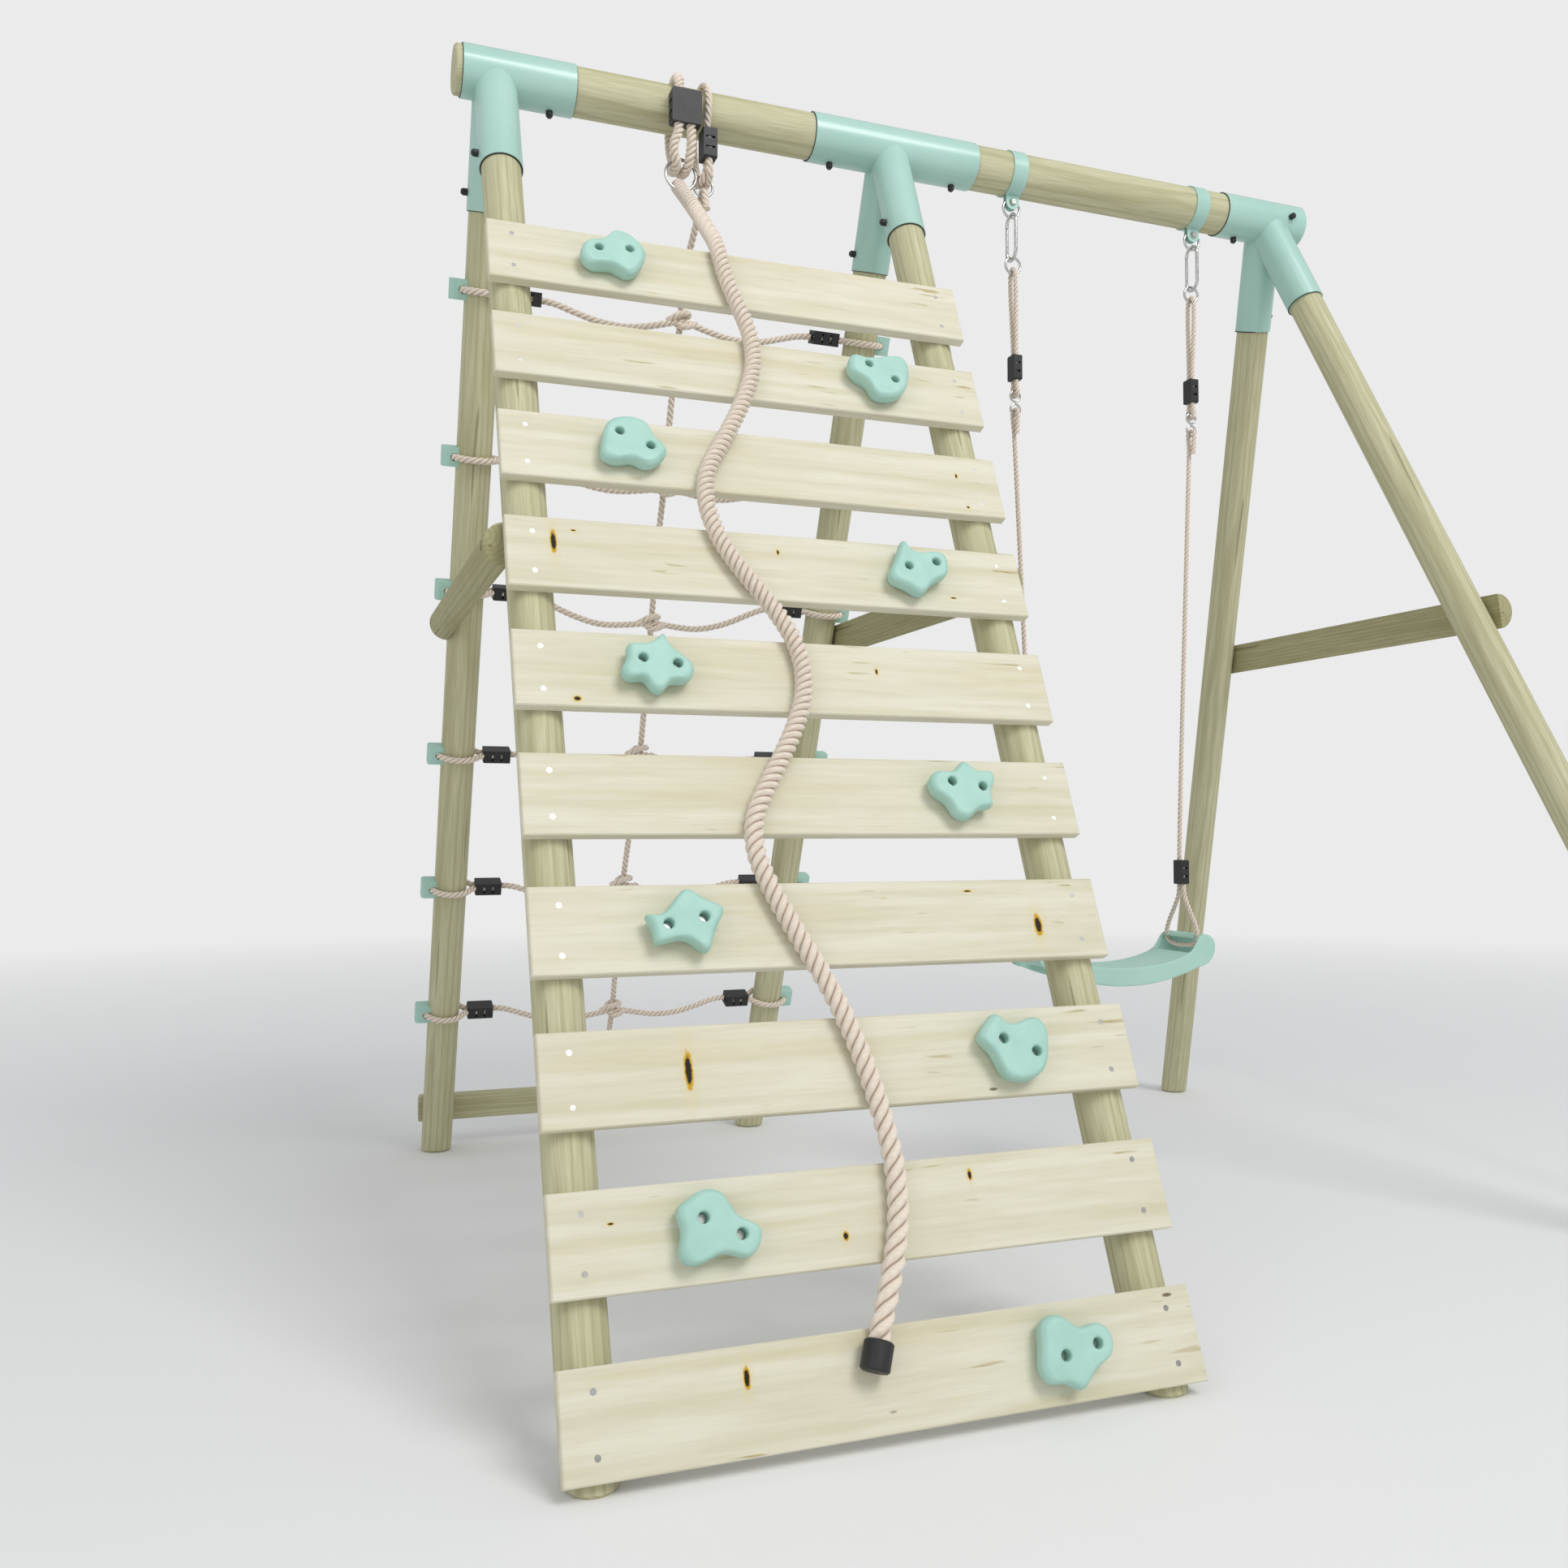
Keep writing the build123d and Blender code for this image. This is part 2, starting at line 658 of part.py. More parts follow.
with BuildPart() as rope_guides:
    for frame in net_legs:
        for slope in net_rows:
            add(make_guide(frame, slope))
finish(rope_guides.part, "rope_guides")

# The clamp where the net's upright is tied round the ground bar.
bar_clamp_x = 2             # from the middle of the wall
bar_clamp_slope = 240
bar_clamp_front = -20
with BuildPart() as net_clamps:
    for frame, (leg_x, inward) in net_legs.items():
        for slope in net_rows:
            middle = on_net(leg_x + inward * clamp_reach, slope, 0)
            along = Plane(origin=middle, x_dir=(1, 0, 0), z_dir=net_plane.y_dir)
            add(make_rope_clamp(along, rope_clamp_length, rope_clamp_width,
                                rope_clamp_height, net_rope_diameter / 2, strand_apart))
    bar_clamp_middle = on_net(wall_middle_x + bar_clamp_x, bar_clamp_slope, bar_clamp_front)
    along = Plane(origin=bar_clamp_middle,
                  x_dir=net_plane.y_dir, z_dir=(1, 0, 0))
    add(make_rope_clamp(along, rope_clamp_length, rope_clamp_width,
                        rope_clamp_height, net_rope_diameter / 2, strand_apart))
finish(net_clamps.part, "net_clamps")

# A rope's turn round a leg, from its tail in the clamp: towards the net, and to the rear.
leg_turn = [
    (122, -8.7), (54, -8.7), (44, -27), (23, -48), (-16.5, -51), (-49, -22), (-49, 22),
    (-16.5, 51), (23, 48), (44, 27), (54, 8.7), (150, 8.7),
]
# Between the clamps: from the left leg, up or down the slope, and forward of the net's plane.
row_sags = [
    [(198, -14, -3), (258, -30, 2), (328, -35, 8), (395, -20, 16), (452, -2, 20),
     (508, -18, 16), (576, -31, 8), (645, -30, 2), (706, -13, -3)],
    [(200, -18, -3), (262, -40, 2), (330, -47, 8), (396, -38, 16), (452, -26, 20),
     (508, -35, 16), (575, -48, 8), (646, -39, 2), (707, -17, -3)],
    [(197, -21, -3), (256, -46, 2), (324, -64, 8), (394, -58, 16), (452, -48, 20),
     (510, -57, 16), (574, -64, 8), (647, -47, 2), (705, -20, -3)],
    [(199, -12, -3), (260, -25, 2), (328, -23, 8), (398, 1, 16), (456, 18, 20),
     (513, 4, 16), (578, -20, 8), (648, -24, 2), (707, -12, -3)],
    [(198, -15, -3), (257, -31, 2), (326, -31, 8), (392, -10, 16), (449, 11, 20),
     (506, -6, 16), (572, -26, 8), (644, -27, 2), (706, -13, -3)],
    [(199, -16, -3), (259, -35, 2), (328, -37, 8), (397, -22, 16), (454, -6, 20),
     (511, -19, 16), (577, -36, 8), (647, -33, 2), (708, -15, -3)],
]


def row_route(slope, sags):
    left = [on_net(left_frame_x + dx, slope, -rear) for dx, rear in leg_turn]
    between = [on_net(left_frame_x + x, slope + up, front) for x, up, front in sags]
    right = [on_net(middle_frame_x - dx, slope, -rear) for dx, rear in leg_turn[::-1]]
    return left + between + right


for row, (slope, sags) in enumerate(zip(net_rows, row_sags), start=1):
    name = f"net_rope_{row}"
    finish(make_rope(name, row_route(slope, sags), net_rope_diameter), name)

# ---------------- slings round the beam, their clamps and rings ----------------
sling_x = wall_middle_x + sling_x_offset
# Each route runs from a tail in the clamp, through the ring, up behind the beam, over it
# and down through the clamp again to the ring: along the beam, to the rear, and up.
rope_sling_route = [
    (13, -66.5, -14), (13, -66.5, -78), (15, -63, -108), (12.4, -48, -140), (12, -14, -145),
    (10, 18, -132), (5, 46, -102), (1, 64, -64), (-1, 65, -22), (-3, 64, 28), (-6, 28, 64),
    (-9, -30, 64), (-13, -66.5, 27), (-13, -66.5, -80), (-25, -65, -102),
    (-24, -58, -126), (-12.4, -46, -142), (-12, -14, -145), (-12, 2, -136),
]
net_sling_route = [
    (0, -60.7, -76), (0, -60.7, -138), (5, -52, -158), (8.4, -30, -162.5),
    (8.4, -2, -162.5), (6, 22, -146), (3, 46, -108), (1, 60, -66), (0, 61, -22), (0, 60, 24),
    (-1, 25, 60), (-1, -25, 60), (-1, -60, 24), (-0.5, -60.5, -14), (0, -43.3, -47),
    (0, -43.3, -140), (-6, -40, -158), (-8.4, -26, -162.5), (-8.4, -2, -162.5),
    (-8.4, 10, -152),
]
sling_rope = [from_beam(sling_x + x, dy, dz) for x, dy, dz in rope_sling_route]
net_sling = [from_beam(wall_middle_x + x, dy, dz) for x, dy, dz in net_sling_route]
finish(make_rope("beam_loop_front", sling_rope, sling_rope_diameter), "beam_loop_front")
finish(make_rope("beam_loop_rear", net_sling, net_rope_diameter), "beam_loop_rear")

front_clamp_length = 74
front_clamp_width = 66
front_clamp_height = 30
front_clamp_dy = -66.5      # from the beam's axis to its middle
front_clamp_dz = -28
rear_clamp_dy = -52
rear_clamp_dz = -93
sling_strand_apart = 13
with BuildPart() as loop_clamps:
    front_clamp_middle = from_beam(sling_x, front_clamp_dy, front_clamp_dz)
    along = Plane(origin=front_clamp_middle, x_dir=(0, 0, 1), z_dir=(0, -1, 0))
    add(make_rope_clamp(along, front_clamp_length, front_clamp_width, front_clamp_height,
                        sling_rope_diameter / 2, sling_strand_apart))
    rear_clamp_middle = from_beam(wall_middle_x, rear_clamp_dy, rear_clamp_dz)
    along = Plane(origin=rear_clamp_middle, x_dir=(0, 0, 1), z_dir=(1, 0, 0))
    add(make_rope_clamp(along, rope_clamp_length, rope_clamp_width, rope_clamp_height,
                        net_rope_diameter / 2, strand_apart))
finish(loop_clamps.part, "loop_clamps")

sling_ring_centre = from_beam(sling_x, -30, -157)
with BuildPart() as climbing_rope_ring:
    with Locations(Plane(origin=sling_ring_centre, z_dir=(0, 1, 0)).location):
        Torus(sling_ring_radius, sling_ring_wire)
finish(climbing_rope_ring.part, "climbing_rope_ring")

net_ring_radius = 22
net_ring_wire = 3
net_ring_centre = from_beam(wall_middle_x, -15, -167.5)
with BuildPart() as net_ring:
    with Locations(Plane(origin=net_ring_centre, z_dir=(0, 1, 0)).location):
        Torus(net_ring_radius, net_ring_wire)
finish(net_ring.part, "net_ring")

# ---------------- the net's upright: from its ring, down the net, round the ground bar ----
upright_top = [
    (2, -36, -226), (1, -28, -196), (0, -27, -177), (0, -3, -177), (-1, 3, -197),
    (-3, 28, -236),
]
upright_down = [
    (-4, 2330, 0), (0, 2226, 0), (-3, 2052, -2), (1, 1850, 0), (-2, 1690, 1), (3, 1512, 0),
    (6, 1330, -1), (9, 1150, 0), (3, 978, 1), (-4, 801, 0), (-1, 610, -1), (3, 421, 0),
    (2, 360, -4), (2, 302, -11.3), (2, 178, -11.3), (2, 138, -26), (2, 98, -31.5),
    (2, 57, -31), (2, 49, -58), (2, 76, -87), (2, 118, -94), (2, 152, -74), (2, 172, -52),
    (2, 190, -28.7), (2, 262, -28.7),
]
upright = [from_beam(wall_middle_x + x, dy, dz) for x, dy, dz in upright_top]
upright += [on_net(wall_middle_x + x, slope, front) for x, slope, front in upright_down]
name = "net_vertical_rope"
finish(make_rope(name, upright, net_rope_diameter), name)

# ---------------- climbing rope: from its ring, over the top slat, down the wall ----------
rope_out = leg_radius + slat_thickness + climbing_rope_diameter / 2 + climbing_rope_gap
ring_bottom = sling_ring_centre - Vector(0, 0, sling_ring_radius)
wall_route = [
    (-42, 2192, 3), (-33, 2110, 0), (-15, 2040, 0), (3, 1965, 0), (-1, 1885, 0),
    (-36, 1795, 0), (-84, 1705, 0), (-128, 1630, 0), (-139, 1560, 0), (-122, 1480, 0),
    (-82, 1410, 0), (-34, 1340, 0), (2, 1262, 0), (3, 1180, 0), (-31, 1096, 0),
    (-86, 1006, 0), (-126, 938, 0), (-132, 872, 0), (-111, 808, 0), (-82, 742, 0),
    (-48, 672, 0), (-18, 598, 0), (4, 520, 0), (18, 444, 0), (26, 370, 0), (22, 308, 0),
    (8, 250, 0), (-17, 188, 0), (-42, 130, 0), (-54, 98, 0),
]
top_x, top_slope, top_out = wall_route[0]
top_of_wall = on_wall(wall_middle_x + top_x, top_slope, rope_out + top_out)
rope_past_ring = 24         # the served eye reaches this far over the ring
rope_start = ring_bottom + (ring_bottom - top_of_wall).normalized() * rope_past_ring
climbing_route = [rope_start, ring_bottom + (top_of_wall - ring_bottom) * 0.35 + Vector(3, 0, 2)]
climbing_route += [ring_bottom + (top_of_wall - ring_bottom) * 0.7 + Vector(2, -1, -2)]
climbing_route += [on_wall(wall_middle_x + x, s, rope_out + n) for x, s, n in wall_route]
ring_hole = sling_ring_wire + 3.2
climbing_rope = make_rope("climbing_rope", climbing_route, climbing_rope_diameter)
with BuildPart() as climbing_rope_part:
    add(climbing_rope)
    with Locations(Plane(origin=sling_ring_centre, z_dir=(0, 1, 0)).location):
        Torus(sling_ring_radius, ring_hole, mode=Mode.SUBTRACT)
finish(climbing_rope_part.part, "climbing_rope")

rope_end = climbing_route[-1]
rope_end_down = (rope_end - climbing_route[-2]).normalized()
cap_overlap = 30
with BuildPart() as climbing_rope_cap:
    cap_rise = (rope_cap_diameter - climbing_rope_diameter) / 2
    cap_origin = rope_end - rope_end_down * cap_overlap + wall_plane.z_dir * cap_rise
    cap_top = Plane(origin=cap_origin, z_dir=rope_end_down)
    rounds(cap_top, [(0, 0)], rope_cap_diameter / 2, rope_cap_length)
    chamfer(climbing_rope_cap.edges().filter_by(GeomType.CIRCLE), rope_cap_chamfer)
    rope_bore = Plane(origin=rope_end - rope_end_down * (cap_overlap + 1), z_dir=rope_end_down)
    holes(rope_bore, [(0, 0)], climbing_rope_diameter / 2 + 0.1, cap_overlap + 1.2)
finish(climbing_rope_cap.part, "climbing_rope_cap")

# ---------------- swing: straps, bolts and links on the beam ----------------
strap_inner = beam_radius + 0.3
strap_outer = strap_inner + strap_thickness
tab_half_width = 17
hangers = {"left": -1, "right": 1}
strap_reach = beam_radius + strap_drop
strap_bolt_z = beam_height - strap_reach
tab_stop = 24               # the tabs' upper edge, inside the band, under the beam's axis
tab_outer = tab_gap / 2 + strap_thickness
nut_height = 8
nut_across_flats = 17


def hanger_x(side):
    return swing_middle_x + hangers[side] * strap_spacing / 2


def make_strap(side):
    middle = hanger_x(side)
    with BuildPart() as strap:
        band = beam_axis_plane.offset(middle - strap_width / 2)
        rounds(band, [(0, 0)], strap_outer, strap_width)
        for face in (-1, 1):
            inner_y = beam_y + face * tab_gap / 2
            tab_plane = Plane(origin=(0, inner_y, 0), x_dir=(1, 0, 0), z_dir=(0, -1, 0))
            with BuildSketch(tab_plane):
                with Locations((middle, strap_bolt_z)):
                    Circle(tab_half_width)
                with Locations((middle, strap_bolt_z + (strap_reach - tab_stop) / 2)):
                    Rectangle(2 * tab_half_width, strap_reach - tab_stop)
            extrude(amount=-face * strap_thickness)
        holes(band.offset(-1), [(0, 0)], strap_inner, strap_width + 2)
        with BuildSketch(Plane.XY.offset(strap_bolt_z - tab_half_width)):
            with Locations((middle, beam_y)):
                Rectangle(strap_width + 2, tab_gap)
        extrude(amount=strap_reach, mode=Mode.SUBTRACT)
        across = Plane(origin=(middle, beam_y + tab_outer + 1, strap_bolt_z), z_dir=(0, -1, 0))
        holes(across, [(0, 0)], bolt_hole, 2 * tab_outer + 2)
    return strap.part


with BuildPart() as swing_straps:
    for side in hangers:
        add(make_strap(side))
finish(swing_straps.part, "swing_straps")

with BuildPart() as strap_bolts:
    for side in hangers:
        front = Plane(origin=(hanger_x(side), beam_y - tab_outer, strap_bolt_z),
                      z_dir=(0, -1, 0))
        rear = Plane(origin=(hanger_x(side), beam_y + tab_outer, strap_bolt_z),
                     z_dir=(0, 1, 0))
        rounds(front, [(0, 0)], bolt_radius, -2 * tab_outer - nut_height - 3)
        rounds(front, [(0, 0)], bolt_head_radius, head_height, taper=25)
        with BuildSketch(rear):
            RegularPolygon(nut_across_flats / 2, 6, major_radius=False)
        extrude(amount=nut_height)
finish(strap_bolts.part, "strap_bolts")

# Each link hangs on its bolt, inside the tabs, and the carabiner hangs in the link.
hang_gap = 0.4
ring_gap = 1.0
link_centre_z = strap_bolt_z + bolt_radius + hang_gap - (link_radius - link_wire)
swing_axis_z = link_centre_z - link_radius
with BuildPart() as hanger_links:
    for side in hangers:
        centre = (hanger_x(side), beam_y, link_centre_z)
        with Locations(Plane(origin=centre, z_dir=(0, 1, 0)).location):
            Torus(link_radius, link_wire)
finish(hanger_links.part, "hanger_links")

# ---------------- carabiners and their gates ----------------
bow_radius = carabiner_width / 2 - carabiner_wire
carabiner_top = swing_axis_z + link_wire + carabiner_wire + hang_gap
carabiner_bottom = carabiner_top - carabiner_length + 2 * carabiner_wire
gate_low = carabiner_bottom + bow_radius + 6
gate_high = carabiner_top - bow_radius - 4
gate_end_gap = 0.6
gate_radius = carabiner_wire - 0.3


def make_carabiner(side):
    x = hanger_x(side)
    high = carabiner_top - bow_radius
    low = carabiner_bottom + bow_radius
    with BuildPart() as carabiner:
        with BuildLine() as path:
            Line((x, beam_y + bow_radius, gate_high), (x, beam_y + bow_radius, high))
            ThreePointArc((x, beam_y + bow_radius, high), (x, beam_y, carabiner_top),
                          (x, beam_y - bow_radius, high))
            Line((x, beam_y - bow_radius, high), (x, beam_y - bow_radius, low))
            ThreePointArc((x, beam_y - bow_radius, low), (x, beam_y, carabiner_bottom),
                          (x, beam_y + bow_radius, low))
            Line((x, beam_y + bow_radius, low), (x, beam_y + bow_radius, gate_low))
        with BuildSketch(Plane(origin=path.line @ 0, z_dir=path.line % 0)):
            Circle(carabiner_wire)
        sweep()
    return carabiner.part


with BuildPart() as carabiners:
    for side in hangers:
        add(make_carabiner(side))
finish(carabiners.part, "carabiners")

for side in hangers:
    with BuildPart() as gate:
        foot = Plane.XY.offset(gate_low + gate_end_gap)
        length = gate_high - gate_low - 2 * gate_end_gap
        rounds(foot, [(hanger_x(side), beam_y + bow_radius)], gate_radius, length)
        fillet(gate.edges().filter_by(GeomType.CIRCLE), gate_radius - 0.2)
    finish(gate.part, f"carabiner_gate_{side}")

# ---------------- swing rings, rope loops, figure-eight hooks ----------------
ring_x = {side: swing_middle_x + sign * rope_spread_top for side, sign in hangers.items()}
hook_x = {side: swing_middle_x + sign * rope_spread_hook for side, sign in hangers.items()}
seat_x = {side: swing_middle_x + sign * rope_spread_seat for side, sign in hangers.items()}
ring_centre_z = carabiner_bottom + carabiner_wire + swing_ring_wire + ring_gap - swing_ring_radius
ring_low_z = ring_centre_z - swing_ring_radius
with BuildPart() as swing_rings:
    for side in hangers:
        with Locations(Plane(origin=(ring_x[side], beam_y, ring_centre_z),
                             z_dir=(0, 1, 0)).location):
            Torus(swing_ring_radius, swing_ring_wire)
finish(swing_rings.part, "swing_rings")

lower_eye_drop = 3 * figure_eight_radius + figure_eight_neck
with BuildPart() as figure_eight_hooks:
    for side in hangers:
        for drop in (figure_eight_radius, lower_eye_drop):
            with Locations(Plane(origin=(hook_x[side], beam_y, figure_eight_top - drop),
                                 z_dir=(0, 1, 0)).location):
                Torus(figure_eight_radius, figure_eight_wire)
        neck = Plane.XY.offset(figure_eight_top - lower_eye_drop + figure_eight_radius)
        rounds(neck, [(hook_x[side], beam_y)], figure_eight_wire - 0.3, figure_eight_neck)
finish(figure_eight_hooks.part, "figure_eight_hooks")

# Upper loop of each hanger: from the clamp over the ring and round the figure-eight's eye.
# Along: 0 at the ring to 1 at the hook; to the rear; height.
swing_clamp_apart = 6.6
upper_clamp_z = 1987
upper_route = [
    (0.9, -6.6, 1980), (0.9, -6.6, 2038), (0.6, -8.5, 2085), (0.2, -12.5, 2165),
    (0, -12.5, ring_low_z + 12), (0, 12.5, ring_low_z + 12), (0.2, 12.5, 2165),
    (0.6, 8.5, 2085), (0.9, 6.6, 2038), (0.9, 6.6, 1949), (1, 11.5, figure_eight_top + 2),
    (1, 11.5, figure_eight_top - 12.5), (1, -11.5, figure_eight_top - 12.5),
    (1, -11.5, figure_eight_top + 2), (0.9, -6.6, 1949), (0.9, -6.6, 1973),
]
# Lower rope: from its seizing under the hook, through the hook, down through the clamp,
# into the seat's rear hole, under the seat and back up to the clamp.
lower_eye = figure_eight_top - lower_eye_drop - figure_eight_radius
lower_clamp_z = 770
lower_route = [
    (0, -6.8, lower_eye - 46), (0, -9, lower_eye - 22), (0, -12, lower_eye - 2),
    (0, -11.5, lower_eye + 12.5), (0, 11.5, lower_eye + 12.5), (0, 12, lower_eye - 2),
    (0, 9, lower_eye - 22), (0.04, 6.6, lower_eye - 52), (0.99, 6.6, 872), (1, 6.6, 722),
    (1, 20, 694), (1, seat_hole_reach, 634), (1, seat_hole_reach + 1, 608), (1, 51, 595), (1, 23, 589),
    (1, -23, 590.5), (1, -51, 595), (1, -seat_hole_reach - 1, 608),
    (1, -seat_hole_reach, 634), (1, -20, 694), (1, -6.6, 722), (1, -6.6, 792),
]
for side in hangers:
    upper = [
        (ring_x[side] + (hook_x[side] - ring_x[side]) * share, beam_y + dy, z)
        for share, dy, z in upper_route
    ]
    lower = [
        (hook_x[side] + (seat_x[side] - hook_x[side]) * share, beam_y + dy, z)
        for share, dy, z in lower_route
    ]
    name = f"swing_upper_rope_{side}"
    finish(make_rope(name, upper, swing_rope_diameter), name)
    name = f"swing_lower_rope_{side}"
    finish(make_rope(name, lower, swing_rope_diameter), name)

swing_clamp_width = 33
swing_clamp_height = 22
with BuildPart() as swing_rope_clamps:
    for side in hangers:
        upper_x = ring_x[side] + (hook_x[side] - ring_x[side]) * 0.9
        for x, z in ((upper_x, upper_clamp_z), (seat_x[side], lower_clamp_z)):
            along = Plane(origin=(x, beam_y, z), x_dir=(0, 0, 1), z_dir=(1, 0, 0))
            add(make_rope_clamp(along, swing_clamp_length, swing_clamp_width,
                                swing_clamp_height, swing_rope_diameter / 2,
                                swing_clamp_apart))
finish(swing_rope_clamps.part, "swing_rope_clamps")

# ---------------- swing seat: a moulded shell, open underneath ----------------
half_seat = seat_length / 2
seat_low = seat_end_height - seat_dip - seat_skirt


def seat_section(inset):
    """Side view of the seat, drawn in by the wall's thickness; its middle dips."""
    top = seat_end_height - inset
    edge = half_seat - inset
    dip = seat_dip
    low = seat_low if inset == 0 else seat_low - 20
    upper = [
        (-edge, top - 26), (-edge + 10, top - 7), (-edge + 27, top), (-edge + 46, top - 8),
        (-edge + 64, top - 34), (-edge + 104, top - dip + 18), (0, top - dip),
        (edge - 104, top - dip + 18), (edge - 64, top - 34), (edge - 46, top - 8),
        (edge - 27, top), (edge - 10, top - 7), (edge, top - 26),
    ]
    with BuildSketch(Plane(origin=(swing_middle_x, beam_y, 0), x_dir=(1, 0, 0),
                           z_dir=(0, -1, 0))) as section:
        with BuildLine():
            Spline(*upper)
            ThreePointArc((edge, top - 26), (edge - 12, top - 62), (edge - 46, top - 78))
            ThreePointArc((edge - 46, top - 78), (0, low), (-edge + 46, top - 78))
            ThreePointArc((-edge + 46, top - 78), (-edge + 12, top - 62), (-edge, top - 26))
        make_face()
    return section.sketch


with BuildPart() as swing_seat:
    extrude(seat_section(0), amount=seat_width / 2, both=True)
    inner_half = seat_width / 2 - seat_skin
    extrude(seat_section(seat_skin), amount=inner_half, both=True, mode=Mode.SUBTRACT)
    rope_holes = [
        (seat_x[side], beam_y + face * seat_hole_reach) for side in hangers for face in (-1, 1)
    ]
    holes(Plane.XY.offset(seat_low), rope_holes, swing_rope_diameter / 2 + 1.5, seat_dip + 80)
finish(swing_seat.part, "swing_seat")
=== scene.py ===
import bpy
import math
from mathutils import Matrix, Vector


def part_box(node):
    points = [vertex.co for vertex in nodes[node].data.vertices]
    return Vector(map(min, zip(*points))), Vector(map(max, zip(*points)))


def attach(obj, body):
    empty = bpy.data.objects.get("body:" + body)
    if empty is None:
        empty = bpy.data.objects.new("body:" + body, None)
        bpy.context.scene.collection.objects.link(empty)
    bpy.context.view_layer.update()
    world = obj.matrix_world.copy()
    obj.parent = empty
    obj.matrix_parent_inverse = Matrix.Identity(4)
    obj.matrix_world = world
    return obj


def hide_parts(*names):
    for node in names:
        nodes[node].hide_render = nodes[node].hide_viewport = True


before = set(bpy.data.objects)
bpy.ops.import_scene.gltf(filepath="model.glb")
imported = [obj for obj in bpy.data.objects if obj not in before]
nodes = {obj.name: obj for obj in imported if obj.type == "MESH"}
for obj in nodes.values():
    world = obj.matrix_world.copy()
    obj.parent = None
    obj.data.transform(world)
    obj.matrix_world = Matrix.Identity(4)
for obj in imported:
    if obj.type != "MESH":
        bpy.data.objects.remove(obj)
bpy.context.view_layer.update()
print("stage: frame loaded,", len(nodes), "pieces")

# Timber climbing frame: slat wall with stones, rope net, climbing rope and one swing.
# Route points and sizes ending in Mm are millimetres; the rest are metres.

# places, all from the frame
beamLow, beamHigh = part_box("top_beam")
beamY = (beamLow.y + beamHigh.y) / 2
beamZ = (beamLow.z + beamHigh.z) / 2
slatLow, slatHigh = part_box("wall_slat_05")
wallMiddle = (slatLow.x + slatHigh.x) / 2
seatLow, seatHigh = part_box("swing_seat")
swingMiddle = (seatLow.x + seatHigh.x) / 2
ringLow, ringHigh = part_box("climbing_rope_ring")
ringMiddle = (ringLow + ringHigh) / 2
legReach = 1.012
legSpacing = 0.905
lean = math.atan2(legReach, beamZ)
acrossX = Vector((1, 0, 0))
wallUp = Vector((0, math.sin(lean), math.cos(lean)))
wallOut = Vector((0, -math.cos(lean), math.sin(lean)))
netUp = Vector((0, -math.sin(lean), math.cos(lean)))
netFront = Vector((0, -math.cos(lean), -math.sin(lean)))
wallFoot = Vector((wallMiddle, beamY - legReach, 0))
netFoot = Vector((wallMiddle, beamY + legReach, 0))


def onWall(xMm, upMm, outMm):
    return wallFoot + (acrossX * xMm + wallUp * upMm + wallOut * outMm) / 1000


def onNet(xMm, upMm, frontMm):
    return netFoot + (acrossX * xMm + netUp * upMm + netFront * frontMm) / 1000


def fromBeam(xMm, rearMm, upMm):
    return Vector((wallMiddle + xMm / 1000, beamY + rearMm / 1000, beamZ + upMm / 1000))


# camera
cameraPlace = {
    "location": (-1.572, -2.7995, 0.8716), "turn": (1.6062, 0.0007, -0.3523), "lens": 30.82,
    "sensor": 36, "seesTo": 60,
}
cameraData = bpy.data.cameras.new("viewCamera")
cameraData.lens = cameraPlace["lens"]
cameraData.sensor_width = cameraPlace["sensor"]
cameraData.clip_end = cameraPlace["seesTo"]
camera = bpy.data.objects.new("viewCamera", cameraData)
camera.location = cameraPlace["location"]
camera.rotation_euler = cameraPlace["turn"]
bpy.context.scene.collection.objects.link(camera)
bpy.context.scene.camera = camera


# node helpers
def linear(hexColour):
    parts = [int(hexColour[i:i + 2], 16) / 255 for i in (1, 3, 5)]
    return [c / 12.92 if c <= 0.04045 else ((c + 0.055) / 1.055) ** 2.4 for c in parts] + [1]


def addNode(tree, kind, inputs=None, **settings):
    node = tree.nodes.new(kind)
    for name, value in settings.items():
        setattr(node, name, value)
    for name, value in (inputs or {}).items():
        socket = node.inputs[name]
        if isinstance(value, bpy.types.NodeSocket):
            tree.links.new(value, socket)
        else:
            socket.default_value = value
    return node


def newMaterial(name, **surface):
    material = bpy.data.materials.new(name)
    material.use_nodes = True
    tree = material.node_tree
    shader = tree.nodes["Principled BSDF"]
    for key, value in surface.items():
        shader.inputs[key.replace("_", " ")].default_value = value
    return material, tree, shader


def mixColours(tree, factor, first, second, blend="MIX"):
    mixed = addNode(tree, "ShaderNodeMix", {"Factor": factor}, data_type="RGBA", blend_type=blend)
    for socket, value in ((mixed.inputs[6], first), (mixed.inputs[7], second)):
        if isinstance(value, bpy.types.NodeSocket):
            tree.links.new(value, socket)
        else:
            socket.default_value = value
    return mixed.outputs[2]


def fade(tree, value, low, high, toLow=0.0, toHigh=1.0):
    found = addNode(tree, "ShaderNodeMapRange", {
        "Value": value, "From Min": low, "From Max": high, "To Min": toLow, "To Max": toHigh,
    })
    return found.outputs["Result"]


def noise(tree, place, scale, detail=3.0, roughness=0.5):
    found = addNode(tree, "ShaderNodeTexNoise", {
        "Vector": place, "Scale": scale, "Detail": detail, "Roughness": roughness,
    })
    return found.outputs["Fac"]


